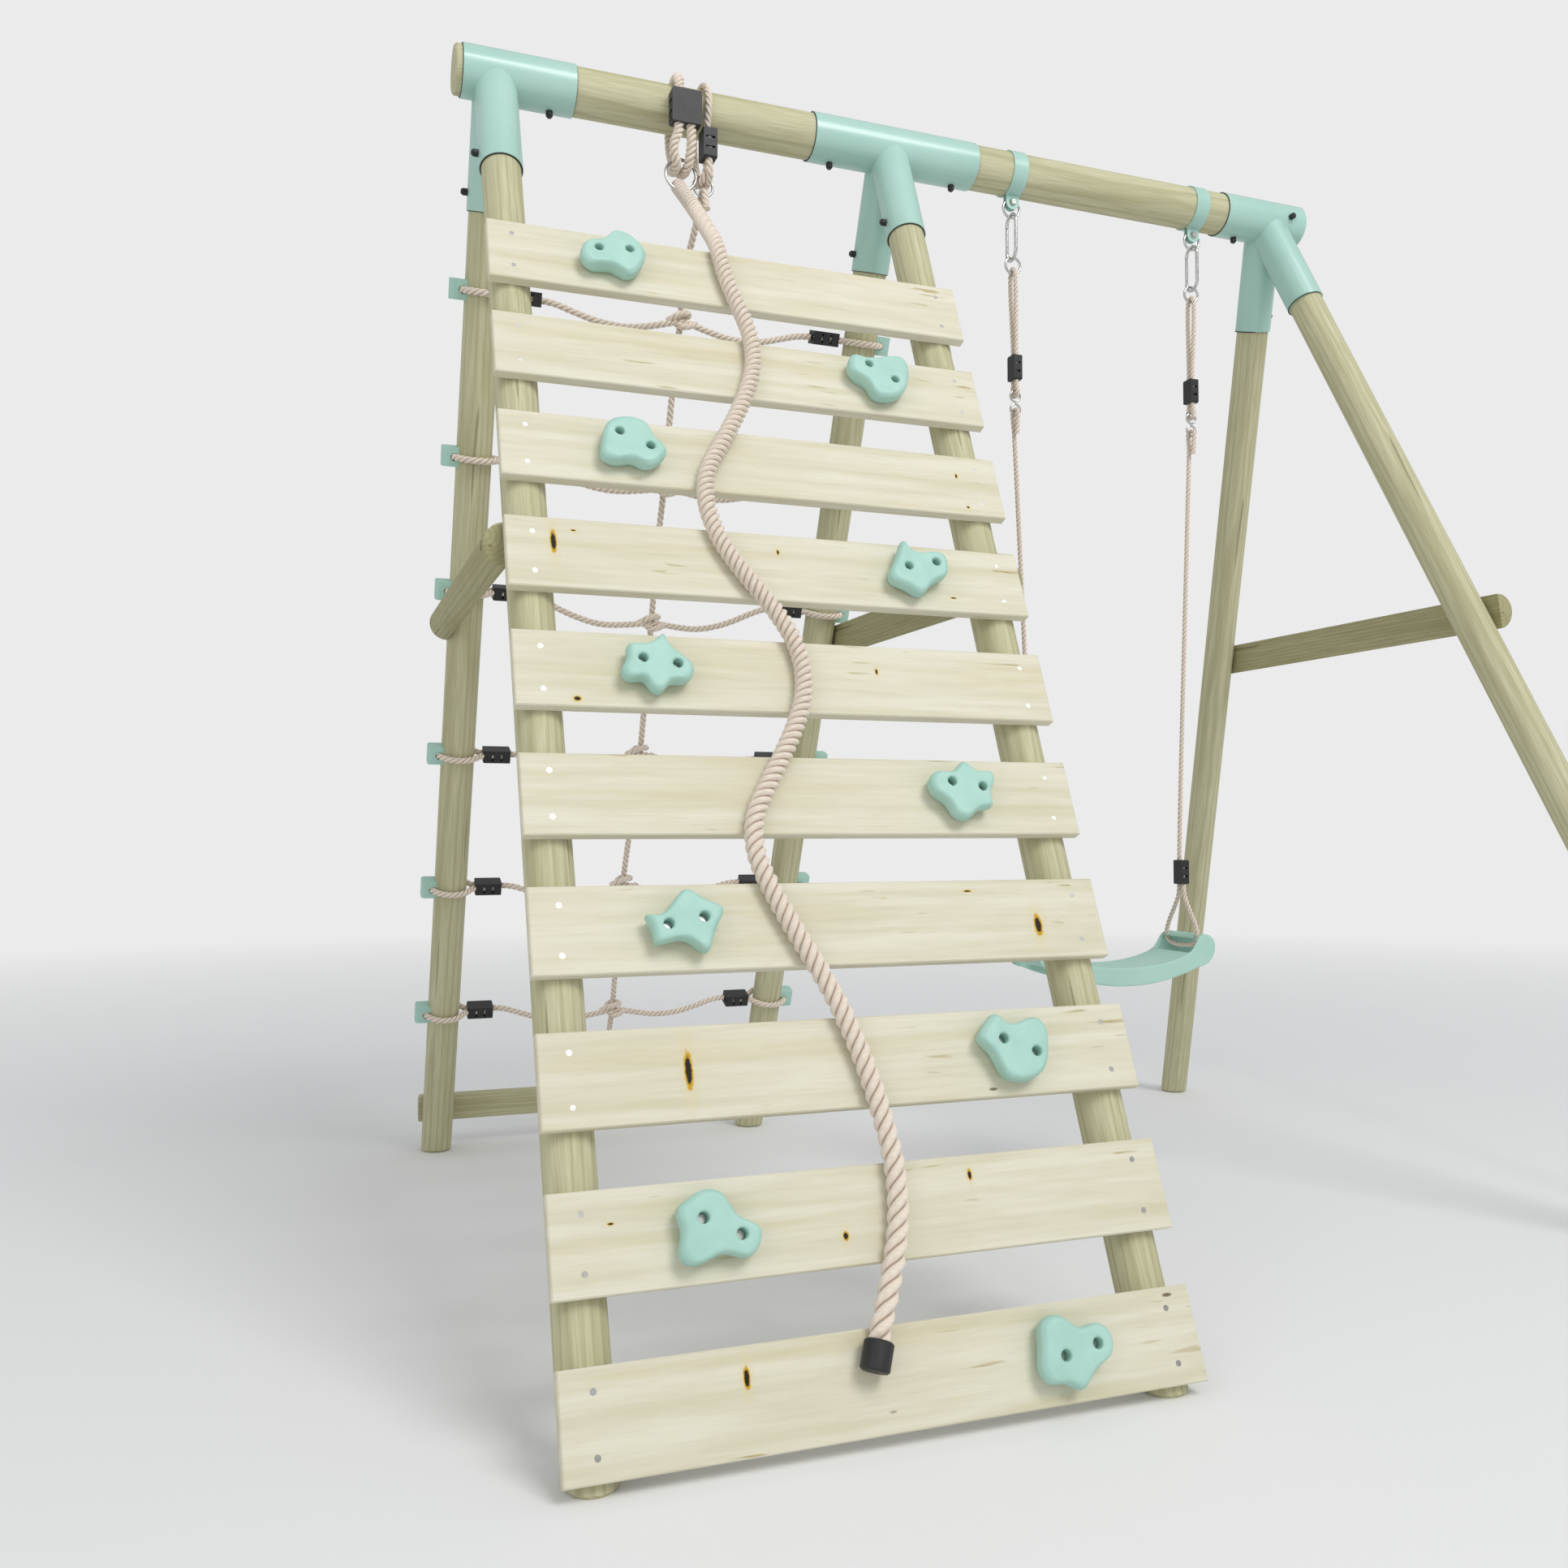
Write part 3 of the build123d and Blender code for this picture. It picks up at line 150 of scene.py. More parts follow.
def grainPlace(tree, xAxis, zAxis, centre, stretch):
    # coordinates in the timber's own directions: Z along the grain
    turn = Matrix((xAxis, zAxis.cross(xAxis), zAxis))
    place = addNode(tree, "ShaderNodeTexCoord").outputs["Object"]
    local = addNode(tree, "ShaderNodeMapping", {
        "Vector": place, "Rotation": turn.to_euler(), "Location": -(turn @ centre),
    })
    scaled = addNode(tree, "ShaderNodeMapping", {
        "Vector": local.outputs["Vector"], "Scale": stretch,
    })
    return local.outputs["Vector"], scaled.outputs["Vector"]


# pressure-treated pine: pale olive, cathedral grain, dull, fine checks along the grain
poleLook = {
    "light": "#C8C5A4", "dark": "#8F8A5E", "streak": "#A5A077", "ringMm": 9, "wanderMm": 30,
    "checkColour": "#57502E", "roughness": 0.72,
    # how many to the metre across the grain, and how much slower along it
    "wanders": 9.0, "fibres": 420.0, "streaks": 26.0, "checks": 62.0,
    "wanderStretch": 0.09, "fibreStretch": 0.03, "checkStretch": 0.035,
    "bump": 0.35, "bumpMm": 0.8,
}


def pineMaterial(name, xAxis, zAxis, centre, look=poleLook):
    material, tree, shader = newMaterial(name, Roughness=look["roughness"], Specular_IOR_Level=0.35)
    own, stretched = grainPlace(tree, xAxis, zAxis, centre, (1, 1, look["wanderStretch"]))
    wander = addNode(tree, "ShaderNodeTexNoise", {
        "Vector": stretched, "Scale": look["wanders"], "Detail": 2.0})
    shifted = addNode(tree, "ShaderNodeVectorMath", {
        0: wander.outputs["Color"], 1: (look["wanderMm"] / 1000,) * 3, 2: stretched,
    }, operation="MULTIPLY_ADD")
    flat = addNode(tree, "ShaderNodeVectorMath", {0: shifted.outputs[0], 1: (1, 1, 0)},
                   operation="MULTIPLY")
    ring = addNode(tree, "ShaderNodeVectorMath", {0: flat.outputs[0]}, operation="LENGTH")
    phase = addNode(tree, "ShaderNodeMath", {0: ring.outputs["Value"], 1: 6283.0 / look["ringMm"]},
                    operation="MULTIPLY")
    wave = addNode(tree, "ShaderNodeMath", {0: phase.outputs[0]}, operation="SINE")
    lateWood = fade(tree, wave.outputs[0], 0.2, 1.0, 0.0, 0.34)
    long = addNode(tree, "ShaderNodeMapping", {
        "Vector": own, "Scale": (1, 1, look["fibreStretch"])}).outputs["Vector"]
    fibres = noise(tree, long, look["fibres"], 2.0)
    streaks = fade(tree, noise(tree, stretched, look["streaks"], 4.0), 0.50, 0.75)
    base = mixColours(tree, lateWood, linear(look["light"]), linear(look["dark"]))
    base = mixColours(tree, fade(tree, fibres, 0.35, 0.75, 0.0, 0.4), base, linear(look["dark"]))
    base = mixColours(tree, addNode(tree, "ShaderNodeMath", {0: streaks, 1: 0.6},
                                    operation="MULTIPLY").outputs[0], base, linear(look["streak"]))
    along = addNode(tree, "ShaderNodeMapping", {
        "Vector": own, "Scale": (1, 1, look["checkStretch"])}).outputs["Vector"]
    checks = fade(tree, noise(tree, along, look["checks"], 1.0), 0.73, 0.76, 0.0, 0.5)
    colour = mixColours(tree, checks, base, linear(look["checkColour"]))
    tree.links.new(colour, shader.inputs["Base Color"])
    height = addNode(tree, "ShaderNodeMath", {0: fibres, 1: checks}, operation="SUBTRACT")
    bump = addNode(tree, "ShaderNodeBump", {
        "Height": height.outputs[0], "Strength": look["bump"], "Distance": look["bumpMm"] / 1000})
    tree.links.new(bump.outputs["Normal"], shader.inputs["Normal"])
    return material


def dress(name, material):
    piece = nodes[name]
    piece.data.materials.clear()
    piece.data.materials.append(material)
    return piece


# the right pair of legs is splayed: its feet stand further out than their tops
splay = {"outwards": 0.431, "footHalfWidth": 0.043}


def legAxis(name):
    # the middle of the foot, and the direction up the leg
    low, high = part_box(name)
    splayed = name.startswith("right")
    footX = high.x - splay["footHalfWidth"] if splayed else (low.x + high.x) / 2
    front = "_front_" in name
    foot = Vector((footX, beamY - legReach if front else beamY + legReach, 0))
    top = Vector((footX - splay["outwards"] if splayed else footX, beamY, beamZ))
    return foot, (top - foot).normalized()


for pairName in ("left", "middle", "right"):
    for sideName in ("front", "rear"):
        name = f"{pairName}_{sideName}_leg"
        foot, along = legAxis(name)
        across = Vector((0, 1, 0)).cross(along).normalized()
        dress(name, pineMaterial("pinePole_" + name, across, along, foot))
pithRise = 0.012            # the beam's pith is this much above its middle
dress("top_beam", pineMaterial("pinePole_beam", Vector((0, 1, 0)), acrossX,
                               Vector((0, beamY, beamZ + pithRise))))
# the crossbars are a shade darker than the poles
barLook = dict(poleLook, light="#ADA983", dark="#7C774C", streak="#938D62")
for pairName in ("left", "middle", "right"):
    name = pairName + "_crossbar"
    low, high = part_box(name)
    dress(name, pineMaterial("pineHalfRound_" + name, acrossX, Vector((0, 1, 0)),
                             (low + high) / 2, barLook))
low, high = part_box("rear_ground_bar")
dress("rear_ground_bar", pineMaterial("pineHalfRound_ground", Vector((0, 1, 0)), acrossX,
                                      (low + high) / 2))
print("stage: poles dressed")

# planed pine slats: cream, fine straight grain, a few black knots with a resin-yellow rim
slatLook = {
    "light": "#DCD8C5", "dark": "#CBC5A8", "resin": "#C8B887", "resinLine": "#A39357",
    "speck": "#5A4520", "glow": "#D8C690", "rim": "#C49A1E", "core": "#1D1206",
    "roughness": 0.62,
    # to the metre across the grain
    "bands": 34.0, "fibres": 260.0, "ribbons": 11.0, "resinLines": 95.0, "patches": 5.5,
    "bump": 0.18, "bumpMm": 0.5,
    # by slat: knots as across, up the slat, half width and half height, from its lower left corner
    "knotsMm": {
        3: [(906, 92, 3, 6), (918, 18, 4, 3)],
        4: [(82, 92, 6, 24), (118, 118, 5, 2), (496, 104, 3, 6), (842, 30, 7, 2)],
        5: [(652, 89, 3, 7), (102, 14, 7, 5)], 7: [(872, 58, 8, 20), (748, 122, 9, 2)],
        8: [(224, 74, 7, 30)], 9: [(656, 112, 4, 9), (437, 43, 5, 7), (88, 94, 5, 2)],
        10: [(261, 100, 5, 16)],
    },
}
slatCount = 10
slatPitchMm = 227.5
slatStartMm = 3
slatLeftMm = -499.5         # a slat's left end, from the wall's middle
slatFaceMm = 60             # its front, from the legs' axes


def slatMaterial(number):
    look = slatLook
    material, tree, shader = newMaterial(f"planedPine_{number:02d}", Roughness=look["roughness"],
                                         Specular_IOR_Level=0.3)
    corner = onWall(slatLeftMm, slatStartMm + (slatCount - number) * slatPitchMm, slatFaceMm)
    turn = Matrix((acrossX, wallUp, wallOut))
    place = addNode(tree, "ShaderNodeTexCoord").outputs["Object"]
    own = addNode(tree, "ShaderNodeMapping", {
        "Vector": place, "Rotation": turn.to_euler(), "Location": -(turn @ corner),
    }).outputs["Vector"]
    shift = addNode(tree, "ShaderNodeMapping", {
        "Vector": own, "Scale": (0.06, 1, 1), "Location": (number * 3.7, number * 1.9, 0),
    }).outputs["Vector"]
    broad = noise(tree, shift, look["bands"], 5.0, 0.6)
    fine = noise(tree, shift, look["fibres"], 3.0)
    pitch = addNode(tree, "ShaderNodeMapping", {
        "Vector": own, "Scale": (0.09, 1, 1), "Location": (number * 2.3, number * 4.1, 0),
    }).outputs["Vector"]
    lines = noise(tree, pitch, look["resinLines"], 2.0, 0.4)
    patches = noise(tree, own, look["patches"], 2.0)
    ribbon = fade(tree, noise(tree, shift, look["ribbons"], 6.0, 0.7), 0.52, 0.70)
    base = mixColours(tree, fade(tree, broad, 0.4, 0.7), linear(look["light"]),
                      linear(look["dark"]))
    base = mixColours(tree, fade(tree, fine, 0.45, 0.8, 0.0, 0.35), base, linear(look["dark"]))
    base = mixColours(tree, addNode(tree, "ShaderNodeMath", {0: ribbon, 1: 0.35},
                                    operation="MULTIPLY").outputs[0], base, linear(look["resin"]))
    # short resin lines along the grain, only in patches
    resinLine = addNode(tree, "ShaderNodeMath", {
        0: fade(tree, lines, 0.66, 0.70), 1: fade(tree, patches, 0.52, 0.62, 0.0, 0.75),
    }, operation="MULTIPLY").outputs[0]
    base = mixColours(tree, resinLine, base, linear(look["resinLine"]))
    specks = addNode(tree, "ShaderNodeTexVoronoi", {"Vector": addNode(tree, "ShaderNodeMapping", {
        "Vector": own, "Scale": (3, 9, 1), "Location": (number * 5.1, number * 2.3, 0),
    }).outputs["Vector"], "Scale": 1.0})
    speck = fade(tree, specks.outputs["Distance"], 0.020, 0.032, 0.85, 0.0)
    base = mixColours(tree, speck, base, linear(look["speck"]))
    for acrossMm, upMm, halfWidthMm, halfHeightMm in look["knotsMm"].get(number, []):
        offset = addNode(tree, "ShaderNodeVectorMath", {
            0: own, 1: (acrossMm / 1000, upMm / 1000, 0)}, operation="SUBTRACT")
        shaped = addNode(tree, "ShaderNodeVectorMath", {
            0: offset.outputs[0], 1: (1000 / halfWidthMm, 1000 / halfHeightMm, 0),
        }, operation="MULTIPLY")
        reach = addNode(tree, "ShaderNodeVectorMath", {0: shaped.outputs[0]}, operation="LENGTH")
        uneven = addNode(tree, "ShaderNodeMath", {
            0: noise(tree, own, 160.0, 2.0), 1: 0.5, 2: reach.outputs["Value"],
        }, operation="MULTIPLY_ADD").outputs[0]
        glow = fade(tree, uneven, 1.2, 3.0, 0.35, 0.0)
        base = mixColours(tree, glow, base, linear(look["glow"]))
        base = mixColours(tree, fade(tree, uneven, 1.15, 1.35, 1.0, 0.0), base, linear(look["rim"]))
        base = mixColours(tree, fade(tree, uneven, 0.85, 1.0, 1.0, 0.0), base, linear(look["core"]))
    tree.links.new(base, shader.inputs["Base Color"])
    bump = addNode(tree, "ShaderNodeBump", {
        "Height": fine, "Strength": look["bump"], "Distance": look["bumpMm"] / 1000})
    tree.links.new(bump.outputs["Normal"], shader.inputs["Normal"])
    return material


for number in range(1, slatCount + 1):
    dress(f"wall_slat_{number:02d}", slatMaterial(number))
print("stage: slats dressed")


# powder-coated steel, moulded grips and plastics: one recipe of colour drift and grain,
# each with the size of its drift, of its grain and of the grain's height in mm
def finishMaterial(name, light, dark, driftMm, grainMm, bumpMm, **surface):
    material, tree, shader = newMaterial(name, **surface)
    place = addNode(tree, "ShaderNodeTexCoord").outputs["Object"]
    drift = noise(tree, place, 1000 / driftMm, 3.0)
    grain = noise(tree, place, 1000 / grainMm, 2.0)
    colour = mixColours(tree, fade(tree, drift, 0.3, 0.7), linear(light), linear(dark))
    tree.links.new(colour, shader.inputs["Base Color"])
    rough = surface.get("Roughness", 0.5)
    uneven = fade(tree, grain, 0.3, 0.7, rough * 0.88, min(1.0, rough * 1.12))
    tree.links.new(uneven, shader.inputs["Roughness"])
    bump = addNode(tree, "ShaderNodeBump", {"Height": grain, "Strength": 0.3,
                                            "Distance": bumpMm / 1000})
    tree.links.new(bump.outputs["Normal"], shader.inputs["Normal"])
    return material


# mint powder coat on steel tube: semi-gloss with a faint orange-peel
mintSteel = finishMaterial("mintPowderCoat", "#ABCFC4", "#A0C7BB", 180, 4, 0.15, Roughness=0.36,
                           Coat_Weight=0.35, Coat_Roughness=0.18)
# moulded polymer grips: satin, faint speckle
mintGrip = finishMaterial("mouldedGrip", "#ACD3C7", "#A0CABD", 40, 2.5, 0.25, Roughness=0.55)
mintPlastic = finishMaterial("mouldedMintPlastic", "#AED4C8", "#A3CBBE", 120, 3, 0.12,
                             Roughness=0.48)
# glass-filled nylon clamps and caps: near black, satin
blackNylon = finishMaterial("blackNylon", "#1B1B1D", "#262628", 30, 1.2, 0.15, Roughness=0.5)
# zinc-plated bolts and screws: grey-white, a little uneven
zincSteel = finishMaterial("zincPlate", "#C4C4C0", "#A9A9A4", 12, 1.5, 0.05, Metallic=1.0,
                           Roughness=0.32)
# stainless wire rings and hooks: bright, light polish marks
brightSteel = finishMaterial("stainlessWire", "#DADAD8", "#C2C2C0", 8, 1.0, 0.03, Metallic=1.0,
                             Roughness=0.16)
dressing = {
    mintSteel: ["left_bracket", "middle_bracket", "right_bracket", "swing_straps"],
    mintPlastic: ["rope_guides"],
    blackNylon: ["bolt_caps", "net_clamps", "loop_clamps", "swing_rope_clamps",
                 "climbing_rope_cap"],
    zincSteel: ["slat_screws", "stone_bolts", "frame_bolts", "strap_bolts"],
    brightSteel: ["climbing_rope_ring", "net_ring", "hanger_links", "carabiners",
                  "carabiner_gate_left", "carabiner_gate_right", "swing_rings",
                  "figure_eight_hooks"],
}
for material, names in dressing.items():
    for name in names:
        dress(name, material)
print("stage: metal and plastic dressed")


# laid rope: pale spun yarns, with tan painted shade down in the grooves between the strands
ropeLook = {"yarn": "#ECE0D2", "groove": "#A0856E", "yarnShade": "#D9C8B6", "roughness": 0.9}


def ropeMaterial(name, yarnMm, look=ropeLook):
    material, tree, shader = newMaterial(name, Roughness=look["roughness"], Specular_IOR_Level=0.2,
                                         Sheen_Weight=0.25, Sheen_Roughness=0.5)
    strand = addNode(tree, "ShaderNodeAttribute", attribute_name="strand").outputs["Fac"]
    along = addNode(tree, "ShaderNodeAttribute", attribute_name="along").outputs["Fac"]
    twist = addNode(tree, "ShaderNodeMath", {
        0: along, 1: 6283.0 / yarnMm, 2: addNode(tree, "ShaderNodeMath", {0: strand, 1: 14.0},
                                                 operation="MULTIPLY").outputs[0],
    }, operation="MULTIPLY_ADD").outputs[0]
    yarns = addNode(tree, "ShaderNodeMath", {0: twist}, operation="SINE").outputs[0]
    fuzz = noise(tree, addNode(tree, "ShaderNodeTexCoord").outputs["Object"], 900.0, 2.0)
    colour = mixColours(tree, fade(tree, yarns, -1.0, 1.0, 0.0, 0.35), linear(look["yarn"]),
                        linear(look["yarnShade"]))
    colour = mixColours(tree, fade(tree, fuzz, 0.4, 0.7, 0.0, 0.25), colour,
                        linear(look["yarnShade"]))
    # painted shade: the groove colour darkens the rope where the strands press together
    colour = mixColours(tree, fade(tree, strand, 0.06, 0.42, 0.9, 0.0), colour,
                        linear(look["groove"]))
    tree.links.new(colour, shader.inputs["Base Color"])
    height = addNode(tree, "ShaderNodeMath", {0: yarns, 1: fuzz}, operation="ADD").outputs[0]
    bump = addNode(tree, "ShaderNodeBump", {"Height": height, "Strength": 0.5, "Distance": 0.0004})
    tree.links.new(bump.outputs["Normal"], shader.inputs["Normal"])
    return material


thickRope = ropeMaterial("hempLookRopeThick", 9)
thinRope = ropeMaterial("hempLookRopeThin", 5)


# three-strand rope round a curve: a round section, turned along its length, pressed in
# between the strands; near its start the rope can be served smooth
def buildRopeTree():
    tree = bpy.data.node_groups.new("laidRope", "GeometryNodeTree")
    for name, kind, default in (
        ("Geometry", "NodeSocketGeometry", None), ("Rope Radius", "NodeSocketFloat", 0.008),
        ("Lay Length", "NodeSocketFloat", 0.045), ("Groove Depth", "NodeSocketFloat", 0.3),
        ("Opens From", "NodeSocketFloat", 100.0), ("Opening", "NodeSocketFloat", 0.0),
        ("Step", "NodeSocketFloat", 0.004), ("Served Length", "NodeSocketFloat", 0.0),
        ("Sides", "NodeSocketInt", 18), ("Finish", "NodeSocketMaterial", None),
    ):
        socket = tree.interface.new_socket(name, in_out="INPUT", socket_type=kind)
        if default is not None:
            socket.default_value = default
    tree.interface.new_socket("Geometry", in_out="OUTPUT", socket_type="NodeSocketGeometry")
    given = addNode(tree, "NodeGroupInput").outputs
    even = addNode(tree, "GeometryNodeResampleCurve", {"Curve": given["Geometry"],
                                                       "Length": given["Step"]}, mode="LENGTH")
    travel = addNode(tree, "GeometryNodeSplineParameter").outputs["Length"]
    turns = addNode(tree, "ShaderNodeMath", {0: travel, 1: given["Lay Length"]}, operation="DIVIDE")
    # past "Opens From" the lay gets longer, so turns are lost with the square of the way
    past = addNode(tree, "ShaderNodeMath", {0: travel, 1: given["Opens From"]},
                   operation="SUBTRACT")
    past = addNode(tree, "ShaderNodeMath", {0: past.outputs[0], 1: 0.0}, operation="MAXIMUM")
    lost = addNode(tree, "ShaderNodeMath", {0: past.outputs[0], 1: past.outputs[0]},
                   operation="MULTIPLY")
    lost = addNode(tree, "ShaderNodeMath", {0: lost.outputs[0], 1: given["Opening"]},
                   operation="MULTIPLY")
    kept = addNode(tree, "ShaderNodeMath", {0: turns.outputs[0], 1: lost.outputs[0]},
                   operation="SUBTRACT")
    angle = addNode(tree, "ShaderNodeMath", {0: kept.outputs[0], 1: 2 * math.pi},
                    operation="MULTIPLY")
    turned = addNode(tree, "GeometryNodeSetCurveTilt", {"Curve": even.outputs["Curve"],
                                                        "Tilt": angle.outputs[0]})
    marked = addNode(tree, "GeometryNodeStoreNamedAttribute", {
        "Geometry": turned.outputs["Curve"], "Name": "along", "Value": travel,
    }, data_type="FLOAT", domain="POINT")
    circle = addNode(tree, "GeometryNodeCurvePrimitiveCircle", {
        "Resolution": given["Sides"], "Radius": given["Rope Radius"]})
    around = addNode(tree, "GeometryNodeSplineParameter").outputs["Factor"]
    lobe = addNode(tree, "ShaderNodeMath", {0: around, 1: 3 * math.pi}, operation="MULTIPLY")
    lobe = addNode(tree, "ShaderNodeMath", {0: lobe.outputs[0]}, operation="COSINE")
    lobe = addNode(tree, "ShaderNodeMath", {0: lobe.outputs[0]}, operation="ABSOLUTE")
    section = addNode(tree, "GeometryNodeStoreNamedAttribute", {
        "Geometry": circle.outputs["Curve"], "Name": "strand", "Value": lobe.outputs[0],
    }, data_type="FLOAT", domain="POINT")
    tube = addNode(tree, "GeometryNodeCurveToMesh", {
        "Curve": marked.outputs["Geometry"], "Profile Curve": section.outputs["Geometry"],
        "Fill Caps": True})
    strand = addNode(tree, "GeometryNodeInputNamedAttribute", {"Name": "strand"},
                     data_type="FLOAT").outputs["Attribute"]
    along = addNode(tree, "GeometryNodeInputNamedAttribute", {"Name": "along"},
                    data_type="FLOAT").outputs["Attribute"]
    served = addNode(tree, "ShaderNodeMapRange", {
        "Value": along, "From Min": given["Served Length"], "From Max":
        addNode(tree, "ShaderNodeMath", {0: given["Served Length"], 1: 0.05},
                operation="ADD").outputs[0], "To Min": 0.12, "To Max": 1.0})
    press = addNode(tree, "ShaderNodeMath", {0: 1.0, 1: strand}, operation="SUBTRACT")
    press = addNode(tree, "ShaderNodeMath", {0: press.outputs[0], 1: given["Groove Depth"]},
                    operation="MULTIPLY")
    press = addNode(tree, "ShaderNodeMath", {0: press.outputs[0], 1: given["Rope Radius"]},
                    operation="MULTIPLY")
    press = addNode(tree, "ShaderNodeMath", {0: press.outputs[0], 1: served.outputs["Result"]},
                    operation="MULTIPLY")
    press = addNode(tree, "ShaderNodeMath", {0: press.outputs[0], 1: -1.0}, operation="MULTIPLY")
    normal = addNode(tree, "GeometryNodeInputNormal").outputs["Normal"]
    inward = addNode(tree, "ShaderNodeVectorMath", {0: normal, 3: press.outputs[0]},
                     operation="SCALE")
    pressed = addNode(tree, "GeometryNodeSetPosition", {"Geometry": tube.outputs["Mesh"],
                                                        "Offset": inward.outputs[0]})
    smooth = addNode(tree, "GeometryNodeSetShadeSmooth", {"Geometry": pressed.outputs["Geometry"]})
    real = addNode(tree, "GeometryNodeRealizeInstances", {"Geometry": smooth.outputs["Geometry"]})
    finished = addNode(tree, "GeometryNodeSetMaterial", {"Geometry": real.outputs["Geometry"],
                                                         "Material": given["Finish"]})
    addNode(tree, "NodeGroupOutput", {"Geometry": finished.outputs["Geometry"]})
    return tree


ropeTree = buildRopeTree()


def evaluatedMesh(thing, name):
    bpy.context.view_layer.update()
    seen = thing.evaluated_get(bpy.context.evaluated_depsgraph_get())
    mesh = bpy.data.meshes.new_from_object(seen)
    mesh.name = name
    return mesh


def routeCurve(name, points, closed=False):
    data = bpy.data.curves.new(name + "_route", "CURVE")
    data.dimensions = "3D"
    data.resolution_u = 10
    spline = data.splines.new("NURBS")
    spline.points.add(len(points) - 1)
    for point, place in zip(spline.points, points):
        point.co = (*place, 1)
    spline.order_u = 3
    if closed:
        spline.use_cyclic_u = True
    else:
        spline.use_endpoint_u = True
    curve = bpy.data.objects.new(name + "_route", data)
    bpy.context.scene.collection.objects.link(curve)
    return curve


def makeRope(name, points, body, look, closed=False):
    # returns the rope and the points of its middle line
    curve = routeCurve(name, points, closed)
    line = [v.co.copy() for v in evaluatedMesh(curve, name + "_line").vertices]
    modifier = curve.modifiers.new("laidRope", "NODES")
    modifier.node_group = ropeTree
    values = {"Rope Radius": look["diameterMm"] / 2000, "Lay Length": look["layMm"] / 1000,
              "Groove Depth": look["groove"], "Step": look["stepMm"] / 1000,
              "Served Length": look.get("servedMm", 0) / 1000, "Sides": look["sides"],
              "Opens From": look.get("opensFromMm", 100000) / 1000,
              "Opening": look.get("turnsLostPerSquareMetre", 0.0),
              "Finish": look["finish"]}
    for item in ropeTree.interface.items_tree:
        if item.in_out == "INPUT" and item.name in values:
            modifier[item.identifier] = values[item.name]
    rope = bpy.data.objects.new(name, evaluatedMesh(curve, name))
    bpy.context.scene.collection.objects.link(rope)
    bpy.data.objects.remove(curve)
    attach(rope, body)
    return rope, line


def lineLength(line):
    return sum((b - a).length for a, b in zip(line, line[1:]))


def declareRope(node):
    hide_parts(node)


# rope net: rows
netRope = {"diameterMm": 16, "layMm": -42, "groove": 0.34, "stepMm": 3.2, "sides": 18,
           "finish": thinRope, "lengthMm": 1530}
netRowsMm = [2230, 1870, 1560, 1150, 790, 430]
legTurnMm = [
    (122, -8.7), (54, -8.7), (44, -27), (23, -48), (-16.5, -51), (-49, -22), (-49, 22),
    (-16.5, 51), (23, 48), (44, 27), (54, 8.7), (150, 8.7),
]
rowSagsMm = [
    [(198, -14, -3), (258, -30, 2), (328, -35, 8), (395, -20, 16), (452, -2, 20),
     (508, -18, 16), (576, -31, 8), (645, -30, 2), (706, -13, -3)],
    [(200, -18, -3), (262, -40, 2), (330, -47, 8), (396, -38, 16), (452, -26, 20),
     (508, -35, 16), (575, -48, 8), (646, -39, 2), (707, -17, -3)],
    [(197, -21, -3), (256, -46, 2), (324, -64, 8), (394, -58, 16), (452, -48, 20),
     (510, -57, 16), (574, -64, 8), (647, -47, 2), (705, -20, -3)],
    [(199, -12, -3), (260, -25, 2), (328, -23, 8), (398, 1, 16), (456, 18, 20),
     (513, 4, 16), (578, -20, 8), (648, -24, 2), (707, -12, -3)],
    [(198, -15, -3), (257, -31, 2), (326, -31, 8), (392, -10, 16), (449, 11, 20),
     (506, -6, 16), (572, -26, 8), (644, -27, 2), (706, -13, -3)],
    [(199, -16, -3), (259, -35, 2), (328, -37, 8), (397, -22, 16), (454, -6, 20),
     (511, -19, 16), (577, -36, 8), (647, -33, 2), (708, -15, -3)],
]
halfSpacingMm = legSpacing * 500


def rowRoute(upMm, sags):
    left = [onNet(-halfSpacingMm + dx, upMm, -rear) for dx, rear in legTurnMm]
    between = [onNet(-halfSpacingMm + x, upMm + up, front) for x, up, front in sags]
    right = [onNet(halfSpacingMm - dx, upMm, -rear) for dx, rear in legTurnMm[::-1]]
    return left + between + right


for number, (upMm, sags) in enumerate(zip(netRowsMm, rowSagsMm), start=1):
    name = f"net_rope_{number}"
    rope, line = makeRope(f"netRow{number}", rowRoute(upMm, sags), "frame", netRope)
    declareRope(name)
print("stage: net rows, last one", round(lineLength(line), 3), "m")

# the net's upright: ring on the beam, down through the rows, round the ground bar
uprightRope = dict(netRope, lengthMm=2790)
uprightTopMm = [
    (2, -36, -226), (1, -28, -196), (0, -27, -177), (0, -3, -177), (-1, 3, -197),
    (-3, 28, -236),
]
uprightDownMm = [
    (-4, 2330, 0), (0, 2226, 0), (-3, 2052, -2), (1, 1850, 0), (-2, 1690, 1), (3, 1512, 0),
    (6, 1330, -1), (9, 1150, 0), (3, 978, 1), (-4, 801, 0), (-1, 610, -1), (3, 421, 0),
    (2, 360, -4), (2, 302, -11.3), (2, 178, -11.3), (2, 138, -26), (2, 98, -31.5),
    (2, 57, -31), (2, 49, -58), (2, 76, -87), (2, 118, -94), (2, 152, -74), (2, 172, -52),
    (2, 190, -28.7), (2, 262, -28.7),
]
route = [fromBeam(*point) for point in uprightTopMm] + [onNet(*point) for point in uprightDownMm]
rope, line = makeRope("netUpright", route, "frame", uprightRope)
declareRope("net_vertical_rope")
print("stage: net upright", round(lineLength(line), 3), "m")

